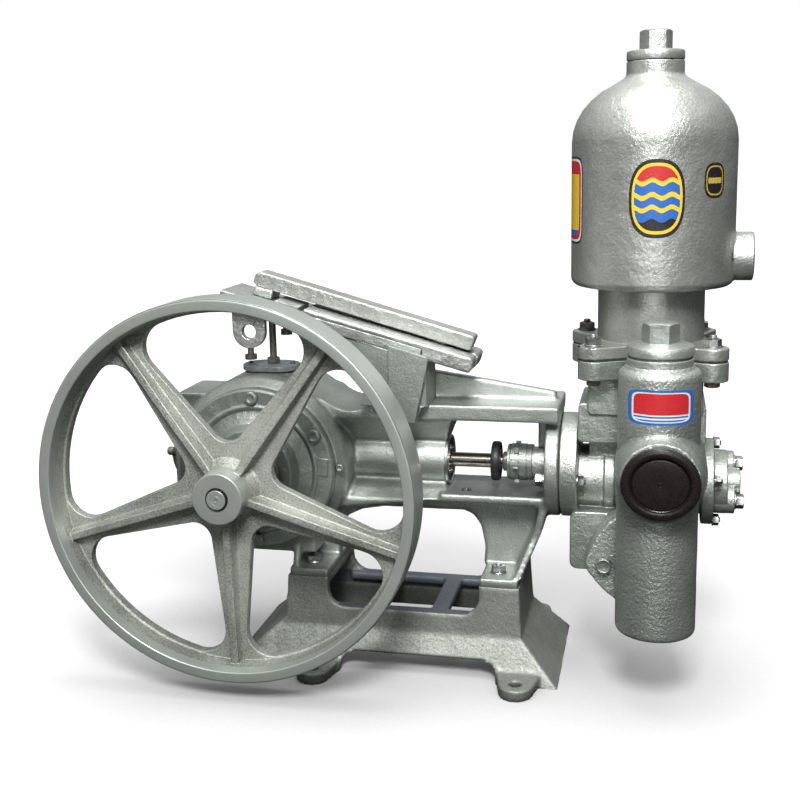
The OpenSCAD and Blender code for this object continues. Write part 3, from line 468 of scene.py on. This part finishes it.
# %% Finish every solid
finishes = {
    "stand": stand_paint, "frame": frame_paint, "crankcase_cover": cover_paint,
    "cover_bolt_set": zinc, "bearing_ring": cover_paint, "crankshaft": shaft_steel,
    "flywheel": flywheel_paint, "inspection_plate": slate, "support_screw": dark_iron,
    "motor_bracket": frame_paint, "platform_plate": platform_paint,
    "front_rail": platform_paint, "middle_rail": platform_paint,
    "upper_rail": platform_paint, "rail_pad": platform_paint, "ear_screw": dark_iron,
    "platform_bolt": dark_iron, "filler_plug": dark_iron, "foot_bolt_set": zinc,
    "guide_ring": turned_steel, "piston_rod": rod_steel, "slinger_ring": rubber,
    "stuffing_box": pump_paint, "gland_nut": turned_steel, "joint_gasket": fibre,
    "flange_bolt_set": zinc, "pump_cylinder": pump_paint, "end_cover": pump_paint,
    "end_bolt_set": zinc, "suction_chamber": tube_paint, "chamber_plug": pump_paint,
    "port_cap": plastic, "chamber_bolt_set": zinc, "neck_gasket": fibre,
    "air_vessel": vessel_paint, "vessel_plug": pump_paint, "neck_bolt_set": zinc,
}
for name, skin in finishes.items():
    for place in nodes[name].material_slots:
        place.material = skin
print("finished", len(finishes), "without a finish", sorted(set(nodes) - set(finishes)))

# %% [markdown]
# A rough casting has no sharp corner: molten iron rounds every edge and fills every inner
# corner. Bevels can't do that where many faces meet, so these meshes are rebuilt from small
# cells and smoothed once, which rounds edges and fills corners together. A cloud pattern
# then pushes the skin in and out a little, so that no face stays perfectly flat.

# %% Recast the rough castings
WELD_WITHIN = 0.00001


def uneven(name, grain):
    pattern = bpy.data.textures.new(name, "CLOUDS")
    pattern.noise_scale, pattern.noise_depth = grain, 3
    return pattern


def recast(name, cell, push, pattern):
    casting = nodes[name]
    casting.modifiers.new("weld", "WELD").merge_threshold = WELD_WITHIN
    rebuilt = casting.modifiers.new("cells", "REMESH")
    rebuilt.mode, rebuilt.voxel_size = "VOXEL", cell * MM
    rebuilt.use_smooth_shade = True
    rounded = casting.modifiers.new("rounded", "SMOOTH")
    rounded.factor, rounded.iterations = 0.5, 1
    waves = casting.modifiers.new("waves", "DISPLACE")
    waves.texture, waves.texture_coords = pattern, "OBJECT"
    waves.texture_coords_object = origin_mark
    waves.strength, waves.mid_level = push * MM, 0.5


sand_waves, chips = uneven("sand_waves", 0.02), uneven("chips", 0.009)
origin_mark = bpy.data.objects.new("origin_mark", None)
bpy.context.scene.collection.objects.link(origin_mark)
castings = {
    "frame": (2.2, 0.8, sand_waves), "stand": (2.2, 0.6, sand_waves),
    "suction_chamber": (1.9, 0.5, sand_waves), "front_rail": (1.5, 0.9, chips),
    "middle_rail": (1.5, 0.9, chips), "upper_rail": (1.5, 0.9, chips),
    "rail_pad": (1.6, 0.8, chips),
}
for name, settings in castings.items():
    recast(name, *settings)
print("recast", len(castings))

# %% [markdown]
# The flywheel and the pieces with flat machined sides keep crisp edges on the real pump, worn
# only a millimetre or so. A bevel rounds each sharp edge, and weighted normals keep the flat
# faces looking flat beside it.

# %% Worn edges
worn_edges = {"flywheel": 1.3, "pump_cylinder": 1.4, "air_vessel": 1.8,
              "motor_bracket": 1.2, "platform_plate": 1.2,
              "end_cover": 1.2, "crankcase_cover": 1.0, "bearing_ring": 0.8,
              "inspection_plate": 0.7}


def wear_edges(name, width):
    worn = nodes[name]
    worn.modifiers.new("weld", "WELD").merge_threshold = WELD_WITHIN
    edge = worn.modifiers.new("edge", "BEVEL")
    edge.width, edge.segments = width * MM, 2
    edge.limit_method, edge.angle_limit = "ANGLE", math.radians(28)
    edge.use_clamp_overlap = False
    worn.modifiers.new("weigh", "WEIGHTED_NORMAL").weight = 60


for name, width in worn_edges.items():
    wear_edges(name, width)
print("worn edges", len(worn_edges))

# %% [markdown]
# Bolts, plugs and seals are round or six-sided, so each one can be a skin over a pile of
# rings: every ring is a closed row of points, and one row is joined to the next. For a turned
# piece the rings come from its lathe profile, as pairs of radius and height. A hollow one
# goes round until its last ring meets its first.

# %% Skins of rings
def skin_over(form, place, rings, around=False):
    rows = [[form.verts.new(place @ Vector(point)) for point in ring] for ring in rings]
    if around:
        rows.append(rows[0])
    for low, high in zip(rows, rows[1:]):
        for i, point in enumerate(low):
            j = (i + 1) % len(low)
            form.faces.new((point, low[j], high[j], high[i]))
    if not around:
        form.faces.new(rows[0])
        form.faces.new(rows[-1])


def turned(form, place, profile, steps, around=False):
    rings = [[(radius * math.cos(2 * math.pi * i / steps),
               radius * math.sin(2 * math.pi * i / steps), height) for i in range(steps)]
             for radius, height in profile]
    skin_over(form, place, rings, around)


print("skins of rings", [way.__name__ for way in (skin_over, turned)])

# %% [markdown]
# A finished form becomes an object with one skin. Its faces are shaded smooth and only edges
# that turn steeply stay sharp. It rides on the base, the wheel or the rod, and where it
# stands for plain solids of the frame, it replaces them.

# %% Make a piece of a form
CREASE = 35


def piece(name, form, skin, body="base", stands_for=()):
    bmesh.ops.recalc_face_normals(form, faces=form.faces)
    mesh = bpy.data.meshes.new(name)
    form.to_mesh(mesh)
    form.free()
    mesh.materials.append(skin)
    mesh.shade_smooth()
    mesh.set_sharp_from_angle(angle=math.radians(CREASE))
    made = bpy.data.objects.new(name, mesh)
    bpy.context.scene.collection.objects.link(made)
    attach(made, body)
    if stands_for:
        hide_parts(*stands_for)
    print(name, len(mesh.polygons), "faces")
    return made


def turned_piece(name, place, profile, skin, steps, around=False, **rest):
    form = bmesh.new()
    turned(form, place, profile, steps, around)
    piece(name, form, skin, **rest)


print("edges stay sharp from", CREASE, "degrees")

# %% [markdown]
# The solids stand in for bolts with plain prisms. A real nut is a hexagon whose corners are
# turned off by a cone, on a washer, with a few threads of the stud above it. The hexagon's
# rings follow its flats, and drop at the corners by as much as the cone takes off.

# %% Hexagons, washers and threads
HEX_STEPS, PITCH = 48, 1.5


def hexagon(form, place, flats, low, high):
    corner = flats / 2 / math.cos(math.pi / 6) * 0.985
    turned_to = flats / 2 * 0.95
    rows = [[], [], [], []]
    for i in range(HEX_STEPS):
        angle = 2 * math.pi * i / HEX_STEPS
        reach = min(flats / 2 / math.cos(angle % (math.pi / 3) - math.pi / 6), corner)
        drop = max(0.0, reach - turned_to) * 0.6
        for row, radius, height in ((0, reach * 0.96, low), (1, reach, low + 0.4),
                                    (2, reach, high - drop), (3, turned_to, high)):
            rows[row].append((radius * math.cos(angle), radius * math.sin(angle), height))
    skin_over(form, place, rows)


def thread(form, place, size, low, high):
    profile, height = [(size / 2 - 0.9, low)], low
    while height + PITCH < high - 0.8:
        profile += [(size / 2, height + PITCH / 2), (size / 2 - 0.7, height + PITCH)]
        height += PITCH
    profile += [(size / 2 - 0.2, high - 0.8), (size / 2 - 1.0, high)]
    turned(form, place, profile, 24)


def washer(form, place, size, hole, thick):
    turned(form, place, [(hole / 2, 0), (size / 2 - 0.3, 0), (size / 2, 0.4),
                         (size / 2, thick - 0.4), (size / 2 - 0.3, thick), (hole / 2, thick)],
           32, around=True)


def hex_bolts(name, spots, flats, height, skin=zinc, stud=0.0, stands_for=(), under=1.6):
    form = bmesh.new()
    for point, direction, turn in spots:
        place = standing(point, direction, turn)
        if under:
            washer(form, place, flats * 1.28, flats * 0.5, under)
        hexagon(form, place, flats, under, under + height)
        if stud:
            thread(form, place, flats * 0.56, under + height - 1, under + height + stud)
    piece(name, form, skin, stands_for=stands_for)


print("a thread rises", PITCH, "mm a turn")

# %% [markdown]
# Four bolts hold the frame's feet on the stand, and two long ones clamp the frame's round
# flange to the pump cylinder. All are new zinc hexagons, and stand where the solids have
# theirs.

# %% Bolts of the feet and of the joint
FOOT_BOLTS_X, FOOT_BOLTS_Y, FOOT_TOP = (52, 264.5), 32, -118
JOINT_RADIUS, JOINT_ANGLES, JOINT_FACES = 47, (188, 352), (316, 350.2)

foot_spots = [((x, side * FOOT_BOLTS_Y, FOOT_TOP), UP, 10 * side)
              for x in FOOT_BOLTS_X for side in (-1, 1)]
hex_bolts("foot_bolts", foot_spots, 14.5, 6.5, stands_for=["foot_bolt_set"], stud=2)
joint_spots = [on_circle(JOINT_RADIUS, angle) for angle in JOINT_ANGLES]
hex_bolts("joint_bolts", [((JOINT_FACES[0], y, z), LEFT, 8) for y, z in joint_spots], 13, 8,
          stands_for=["flange_bolt_set"])
hex_bolts("joint_nuts", [((JOINT_FACES[1], y, z), RIGHT, 20) for y, z in joint_spots], 11, 6,
          stud=2)

# %% [markdown]
# The end cover is held twice: two large bolts through its raised pads, and four nuts on the
# ring around it. Both circles share the cover's own axis, a little below the rod's.

# %% Bolts of the end cover
COVER_DROP = 13
PADS_X, PADS_RADIUS, PADS_ANGLES = 513, 23, (45, 225)
RING_X, RING_RADIUS, RING_ANGLES = 491, 41, (74, 164, 254, 344)


def cover_spots(x, radius, angles, turn=None):
    for angle in angles:
        y, z = on_circle(radius, angle)
        yield (x, y, z - COVER_DROP), RIGHT, angle if turn is None else turn


hex_bolts("end_pad_bolts", cover_spots(PADS_X, PADS_RADIUS, PADS_ANGLES, 12), 14, 8,
          stands_for=["end_bolt_set"])
hex_bolts("end_ring_nuts", cover_spots(RING_X, RING_RADIUS, RING_ANGLES), 11, 6, stud=1.5,
          under=1.0)

# %% [markdown]
# The air vessel is held to the pump by four through bolts. The nuts on top are bright where
# the spanner has been, except one that was never painted, and the heads below are rusty.

# %% Bolts of the vessel's neck
VESSEL_X, NECK_TOP, NECK_UNDER = 423, 142, 107.5
NECK_EARS = ((62, -54), (54, 60), (-56, -58), (-69, 46))

neck_tops = [((VESSEL_X + x, y, NECK_TOP), UP, 25 * i) for i, (x, y) in enumerate(NECK_EARS)]
neck_heads = [((VESSEL_X + x, y, NECK_UNDER), DOWN, 13 * i)
              for i, (x, y) in enumerate(NECK_EARS)]
rusty_iron = metal_skin("rusty_iron", (0.36, 0.30, 0.25), (0.15, 0.12, 0.10), (0.5, 0.75),
                        metal=0.5, depth=0.6)
hex_bolts("neck_nuts", neck_tops[:3], 15, 7, stud=3.5, stands_for=["neck_bolt_set"])
hex_bolts("neck_nut_bare", neck_tops[3:], 15, 7, skin=dark_iron, stud=3.5)
hex_bolts("neck_heads", neck_heads, 14, 6.5, skin=rusty_iron, under=0)

# %% [markdown]
# The crankcase cover is held by cheese-headed screws: short drums with a rounded rim and a
# shallow round dimple. The suction chamber's clamp bolt has the same drum, larger.

# %% Drum-headed screws
COVER_FACE, COVER_SCREWS_RADIUS, COVER_SCREWS = -73, 81, 6


def drum(form, place, size, height, dimple=0.5):
    radius = size / 2
    turned(form, place, [(radius - 0.3, 0), (radius, 0.5), (radius, height - 1.3),
                         (radius - 0.4, height - 0.4), (radius - 1.3, height),
                         (radius * dimple + 0.5, height), (radius * dimple, height - 0.6),
                         (radius * dimple - 0.5, height - 0.8)], 40)


form = bmesh.new()
for i in range(COVER_SCREWS):
    x, z = on_circle(COVER_SCREWS_RADIUS, 90 + 360 / COVER_SCREWS * i)
    drum(form, standing((x, COVER_FACE, z), FRONT), 15, 6)
piece("cover_screws", form, cover_paint, stands_for=["cover_bolt_set"])
form = bmesh.new()
drum(form, standing((381, -80, -84), FRONT), 16, 8, 0.8)
piece("chamber_clamp_bolt", form, cover_paint, stands_for=["chamber_bolt_set"])

# %% [markdown]
# The rod enters the pump through the gland: a turned nut that presses packing round the rod.
# Its profile is a lathe's, with a groove at each end, and six narrow lugs in the groove let a
# hook spanner turn it.

# %% Gland nut
GLAND_LUGS = 6


def lug(form, place, base, out, wide, low, high):
    sides = [(base, -wide / 2), (base, wide / 2), (out, wide / 2 - 0.4), (out, 0.4 - wide / 2)]
    skin_over(form, place, [[(x, y, z) for x, y in sides] for z in (low, high)])


gland = standing((271.5, 0, 0), RIGHT)
turned_piece("gland", gland, [
    (8.1, -5), (10.2, -5), (10.8, -4), (10.8, 0.2), (18.8, 0.2), (19.6, 0.9), (19.6, 3.2),
    (18.9, 3.4), (18.9, 4.0), (20.4, 4.4), (20.4, 12.6), (19.8, 12.9), (19.8, 13.6),
    (20.4, 13.9), (20.4, 21.4), (19.3, 21.8), (19.3, 22.6), (20.0, 23.0), (20.0, 27.4),
    (19.4, 28.0), (17.8, 28.0), (17.8, 22.3), (8.1, 22.3)],
    cover_paint, 64, around=True, stands_for=["gland_nut"])
form = bmesh.new()
for i in range(GLAND_LUGS):
    spun = Matrix.Rotation(math.radians(360 / GLAND_LUGS * i + 12), 4, "Z")
    lug(form, gland @ spun, base=19.5, out=23.0, wide=7.0, low=8.4, high=13.4)
piece("gland_lugs", form, zinc)

# %% [markdown]
# Where the rod leaves the frame, a rubber lip keeps the crankcase oil in. The lip itself sits
# deep in the guide tube, and a second one lies on the lantern's wall, behind a steel plate
# with a raised rim and a ring of small rivets.

# %% Guide seal
RIVETS, RIVET_RADIUS = 8, 13.8

form = bmesh.new()
turned(form, standing((191, 0, 0), RIGHT),
       [(8.2, 1.0), (9.6, 5.2), (10.6, 5.2), (11.2, 3.2), (19.6, 3.2), (20.8, 4.6),
        (20.8, 0.2), (8.6, 0.2)], 64, around=True)
wall = standing((205, 0, 0), RIGHT)
turned(form, wall, [(8.3, -0.5), (8.3, 1.4), (9.2, 2.2), (10.2, 1.2), (16.6, 1.2), (17.4, 0.6),
                    (24.6, 0.9), (24.6, -0.5)], 64, around=True)
piece("guide_seal", form, rubber, stands_for=["guide_ring"])
form = bmesh.new()
turned(form, wall, [(24.4, -0.6), (24.4, 1.8), (25.0, 2.6), (27.4, 2.6), (28.0, 2.0),
                    (28.0, -0.6)], 72, around=True)
turned(form, wall, [(11.2, 0.9), (11.5, 2.0), (16.0, 2.0), (16.4, 0.9)], 64, around=True)
for i in range(RIVETS):
    rivet = Matrix.Translation((*on_circle(RIVET_RADIUS, 360 / RIVETS * i + 10), 1.8))
    turned(form, wall @ rivet, [(1.6, 0), (1.6, 1.1), (1.0, 1.6)], 12)
piece("seal_plate", form, zinc)

# %% [markdown]
# Water that creeps along the rod would reach the crankcase. A rubber disc on the rod flings
# it off, so this piece rides on the rod, and what falls down leaves by the small drain in
# the lantern's floor.

# %% Slinger and drain
turned_piece("slinger", standing((258.5, 0, 0), RIGHT), [
    (7.9, -5.6), (12.0, -5.6), (12.8, -3.4), (19.0, -3.6), (21.2, -4.2), (22.0, -2.6),
    (22.0, 2.6), (21.2, 4.2), (19.0, 3.6), (12.8, 3.4), (12.0, 5.6), (7.9, 5.6)],
    rubber, 72, around=True, body="rod", stands_for=["slinger_ring"])
turned_piece("drain_plug", standing((227, -19, -29), UP), [
    (3.4, -8), (4.6, -1), (5.4, 0.4), (5.0, 0.9), (3.2, 0.9), (2.6, -0.6)], dark_iron, 24)

# %% [markdown]
# The suction port leaves the works closed by a plastic transit cap: a dished disc with a
# raised rim, a little wider than high, and the small mark of its mould in the middle.

# %% Port cap
PORT_AT, CAP_HEIGHT = (436, -152, 27), 0.935

cap = standing(PORT_AT, FRONT) @ Matrix.Diagonal((1.0, CAP_HEIGHT, 1.0, 1.0))
turned_piece("transit_cap", cap, [
    (36.5, 0), (37.3, 0.8), (37.5, 7.8), (36.9, 9.3), (35.4, 10.0), (30.0, 10.0), (29.0, 9.6),
    (28.4, 7.2), (27.6, 6.8), (26.8, 7.4), (26.2, 8.4), (25.0, 8.6), (6.2, 8.3), (3.0, 8.2),
    (2.6, 8.7), (2.1, 8.7), (1.7, 8.2)], plastic, 96, stands_for=["port_cap"])

# %% [markdown]
# Small fittings finish the crankcase: an oil cock on its left side, with its painted cap, a
# small cast pad on the cover, and one extra screw at the shoulder.

# %% Fittings of the crankcase
form = bmesh.new()
cock = standing((-110, -30, 5), LEFT)
turned(form, cock, [(6.2, -1), (6.4, 0.5), (6.4, 2.6), (5.8, 3.2), (3.6, 3.6), (3.2, 5.0)], 32)
turned(form, standing((-113.6, -30, 3), (0.12, 0, -1)),
       [(3.0, -1), (3.6, 1), (3.2, 10), (2.0, 18), (0.8, 20)], 24)
piece("oil_cock", form, dark_iron)
form = bmesh.new()
turned(form, cock, [(3.0, 3.0), (4.8, 4.4), (5.0, 6.0), (5.0, 9.6), (4.2, 11.2), (2.0, 12.0)],
       32)
drum(form, standing((95, -60, 3), FRONT), 9, 6)
pad_rings = [[(-x, -y, h), (x, -y, h), (x, y, h), (-x, y, h)]
             for x, y, h in ((6.0, 10.2, -0.6), (5.8, 10.0, 0.6), (5.2, 9.4, 1.3))]
skin_over(form, standing((78.5, COVER_FACE, 5.5), FRONT, -6), pad_rings)
piece("crankcase_fittings", form, cover_paint)

# %% [markdown]
# The inspection plate on top of the crankcase is held by two small screws, and the nut of
# the platform's support screw stands between them.

# %% Screws of the inspection plate
form = bmesh.new()
for side in (-1, 1):
    drum(form, standing((2 + side * 25, -8, 107), UP), 6, 2.2)
piece("inspection_screws", form, dark_iron)

# %% [markdown]
# The end of the crankshaft shows in the hub as a dark ring round a grey face with the small
# cone that the lathe's centre left. The dark ring is a thin black piece in the gap round the
# shaft, painted shade. It turns with the wheel.

# %% End of the crankshaft
shaft_end = standing((0, -187.5, 0), FRONT)
# Painted shade: a black ring stands in for the shade in the gap round the shaft end.
turned_piece("shaft_gap", shaft_end, [(10.0, 0), (10.0, 0.3), (11.1, 0.3), (11.2, 0)], rubber,
             48, around=True, body="wheel")
turned_piece("shaft_face", shaft_end, [
    (10.1, 0), (10.1, 0.5), (9.7, 0.9), (5.3, 0.9), (5.0, 0.5), (4.4, 0.5), (4.1, 0.9),
    (2.2, 0.9), (1.6, -0.4)], flywheel_paint, 48, body="wheel")

# %% [markdown]
# Two screwed plugs close the castings: one on the air vessel, where air is let in, and one
# on the suction tube, over the valve. Each is a disc with a rounded rim and a tall hexagon
# for the spanner, cast and painted with the pump. The tube's plug sits on a machined neck.

# %% Screwed plugs
TUBE_X, TUBE_Y = 433.5, -100


def screwed_plug(name, place, disc, flats, low, high, skin, stands_for):
    form = bmesh.new()
    turned(form, place, disc, 72)
    hexagon(form, place, flats, low, high)
    piece(name, form, skin, stands_for=[stands_for])


screwed_plug("vessel_screw_plug", standing((VESSEL_X, 0, 426), UP, 7), [
    (27.2, 0.2), (28.6, 0.5), (29.0, 1.4), (29.0, 8.4), (28.3, 9.4), (26.5, 10.0),
    (17.5, 10.3), (16.0, 11.2)], 29, 10.2, 30, vessel_paint, "vessel_plug")
screwed_plug("tube_screw_plug", standing((TUBE_X, TUBE_Y, 139.5), UP, -4.5), [
    (29.6, -0.3), (30.0, 2.0), (31.8, 2.3), (32.5, 3.2), (32.5, 9.4), (31.4, 11.6),
    (28.0, 13.2), (19.5, 14.0), (18.0, 15.0)], 32, 13.8, 34, pump_paint, "chamber_plug")
turned_piece("tube_neck", standing((TUBE_X, TUBE_Y, 131), UP), [
    (28.0, -3.0), (34.5, -3.0), (33.2, 0.3), (32.2, 1.2), (32.0, 7.4), (31.2, 8.4),
    (28.0, 8.4)], tube_paint, 72, around=True)

# %% [markdown]
# Pumps like this carry printed labels. These are plain coloured panels without words. A
# label has to lie on a round and sandy casting, so it is a patch of its own: rings of points
# that shrink to its middle, wrapped round the casting's axis and pressed on to the skin.

# %% Label patches
PATCH_STEPS, PATCH_RINGS, PAPER = 72, 18, 0.12


def label_outline(wide, tall, squareness):
    points = []
    for i in range(PATCH_STEPS):
        angle = 2 * math.pi * i / PATCH_STEPS
        c, s = math.cos(angle), math.sin(angle)
        reach = (abs(c) ** squareness + abs(s) ** squareness) ** (-1 / squareness)
        points.append((wide / 2 * reach * c, tall / 2 * reach * s))
    return points


def label_patch(name, skin, target, outline, axis, radius, facing, middle):
    form = bmesh.new()
    rows = []
    for ring in range(PATCH_RINGS, 0, -1):
        row = []
        for u, v in outline:
            angle = math.radians(facing) + u * ring / PATCH_RINGS / radius
            spot = at(axis[0] + (radius + 2) * math.sin(angle),
                      axis[1] - (radius + 2) * math.cos(angle), middle + v * ring / PATCH_RINGS)
            row.append(form.verts.new(spot))
        rows.append(row)
    for outer, inner in zip(rows, rows[1:]):
        for i, spot in enumerate(outer):
            j = (i + 1) % len(outer)
            form.faces.new((spot, outer[j], inner[j], inner[i]))
    form.faces.new(rows[-1])
    patch = piece(name, form, skin)
    press = patch.modifiers.new("press", "SHRINKWRAP")
    press.target, press.offset = nodes[target], PAPER * MM
    press.wrap_mode = "ABOVE_SURFACE"
    pressed = patch.evaluated_get(bpy.context.evaluated_depsgraph_get())
    patch.data = bpy.data.meshes.new_from_object(pressed)
    patch.modifiers.clear()


print("a patch has", PATCH_STEPS * PATCH_RINGS, "points")

# %% [markdown]
# A printed drawing is reckoned, not painted: each spot knows how far across and up the label
# it lies, and how near to its edge. Steps of those numbers give frames and bands with sharp
# borders, and a fine noise lets a little of the casting show through the ink.

# %% Printed drawings
RED, YELLOW, BLUE = (0.50, 0.02, 0.025), (0.75, 0.50, 0.03), (0.02, 0.12, 0.42)
WHITE, BLACK = (0.70, 0.70, 0.68), (0.012, 0.012, 0.012)
WORN_INK = (0.4, 0.41, 0.38, 1)


def label_places(tree, wide, tall, axis, radius, facing, middle):
    """How far across and up the label a spot lies, from -1 to 1."""
    parts = add(tree, "SeparateXYZ", {"Vector": coordinates(tree)})
    east = reckon(tree, "SUBTRACT", parts.outputs["X"], (axis[0] - SHAFT_LEFT) * MM)
    south = reckon(tree, "SUBTRACT", axis[1] * MM, parts.outputs["Y"])
    angle = reckon(tree, "SUBTRACT", reckon(tree, "ARCTAN2", east, south),
                   math.radians(facing))
    up = reckon(tree, "SUBTRACT", parts.outputs["Z"], (middle + SHAFT_UP) * MM)
    return (reckon(tree, "MULTIPLY", angle, 2 * radius / wide),
            reckon(tree, "MULTIPLY", up, 2 / (tall * MM)))


def from_edge(tree, across, up, squareness):
    """1 at the label's edge and 0 in its middle, with rounded corners."""
    sides = [reckon(tree, "POWER", reckon(tree, "ABSOLUTE", way), squareness)
             for way in (across, up)]
    return reckon(tree, "POWER", reckon(tree, "ADD", *sides), 1 / squareness)


def bands(tree, share, *stops):
    colour = ramp(tree, share, *stops)
    colour.node.color_ramp.interpolation = "CONSTANT"
    return colour


def upward(tree, up):
    """From 0 at the foot of the label to 1 at its head."""
    return reckon(tree, "ADD", reckon(tree, "MULTIPLY", up, 0.5), 0.5)


def label(name, target, drawing, size, squareness, place):
    ink, tree, shader = new_material(name + "_print")
    across, up = label_places(tree, *size, **place)
    colour = drawing(tree, (across, up, from_edge(tree, across, up, squareness)))
    wear = noise_of(tree, coordinates(tree), 900, 3, 0.7)
    worn = mix(tree, reckon(tree, "GREATER_THAN", wear, 0.68), colour, WORN_INK)
    tree.links.new(worn, shader.inputs["Base Color"])
    dulled(tree, shader, wear, (0.48, 0.34))
    bumped(tree, shader, wear, 0.3, 0.0003)
    label_patch(name, ink, target, label_outline(*size, squareness), **place)


print("printing inks", len((RED, YELLOW, BLUE, WHITE, BLACK)))

# %% [markdown]
# The suction tube's label is a red panel in a blue frame, with a pale line between them and
# thin pale stripes at its foot. The frame's colours are steps of the distance from the edge.

# %% Label of the suction tube
def tube_drawing(tree, spot):
    _, up, rim = spot
    panel = bands(tree, rim, (0.0, RED), (0.80, WHITE), (0.86, BLUE))
    stripes = bands(tree, reckon(tree, "FRACT", reckon(tree, "MULTIPLY", up, 5.0)),
                    (0.0, BLUE), (0.5, WHITE))
    foot = reckon(tree, "MULTIPLY", reckon(tree, "LESS_THAN", rim, 0.80),
                  reckon(tree, "LESS_THAN", up, -0.42))
    return mix(tree, foot, panel, stripes)


label("tube_label", "suction_chamber", tube_drawing, (70, 34), 6.0,
      dict(axis=(TUBE_X, TUBE_Y), radius=40, facing=3, middle=97))

# %% [markdown]
# The largest label on the air vessel is an upright oval in the middle: a field of coloured
# waves in a yellow line with a black edge. A sine across the label bends the level bands.

# %% Oval label
VESSEL = dict(axis=(VESSEL_X, 0), radius=83.5)


def oval_drawing(tree, spot):
    across, up, rim = spot
    swing = reckon(tree, "SINE", reckon(tree, "MULTIPLY", across, 9.0))
    waves = reckon(tree, "ADD", up, reckon(tree, "MULTIPLY", swing, 0.05))
    field = bands(tree, upward(tree, waves), (0.0, BLACK), (0.22, BLUE), (0.34, YELLOW),
                  (0.40, BLUE), (0.50, YELLOW), (0.56, BLUE), (0.68, YELLOW), (0.74, RED))
    line = bands(tree, rim, (0.0, YELLOW), (0.90, BLACK))
    return mix(tree, reckon(tree, "GREATER_THAN", rim, 0.82), field, line)


label("oval_label", "air_vessel", oval_drawing, (54, 76), 2.6,
      dict(facing=3, middle=291, **VESSEL))

# %% [markdown]
# Two more flank it: a small dark one on the right, with a gold line and a gold bar, and a
# framed panel on the left that wraps round the vessel and out of sight.

# %% Small label and side label
GOLD = (0.48, 0.34, 0.06)


def small_drawing(tree, spot):
    _, up, rim = spot
    dark = bands(tree, rim, (0.0, BLACK), (0.76, GOLD), (0.84, BLACK))
    bar = reckon(tree, "MULTIPLY", reckon(tree, "LESS_THAN", rim, 0.66),
                 reckon(tree, "LESS_THAN", reckon(tree, "ABSOLUTE", up), 0.16))
    return mix(tree, bar, dark, (*GOLD, 1))


def side_drawing(tree, spot):
    _, up, rim = spot
    panel = bands(tree, upward(tree, up), (0.0, BLUE), (0.16, YELLOW), (0.80, RED))
    edge = bands(tree, rim, (0.0, RED), (0.90, WHITE), (0.95, BLACK))
    return mix(tree, reckon(tree, "GREATER_THAN", rim, 0.80), panel, edge)


label("small_label", "air_vessel", small_drawing, (27, 34), 3.0,
      dict(facing=45, middle=307, **VESSEL))
label("side_label", "air_vessel", side_drawing, (70, 88), 8.0,
      dict(facing=-80, middle=288, **VESSEL))

# %% [markdown]
# A render stays quick while no piece is heavier than it needs to be, so the triangles are
# counted here, with every modifier at work.

# %% Count the triangles
graph, counts = bpy.context.evaluated_depsgraph_get(), {}
for thing in bpy.data.objects:
    if thing.type == "MESH" and not thing.hide_render:
        mesh = thing.evaluated_get(graph).data
        counts[thing.name] = sum(len(face.vertices) - 2 for face in mesh.polygons)
print("triangles", sum(counts.values()), sorted(counts.items(), key=lambda c: -c[1])[:9])

# %% [markdown]
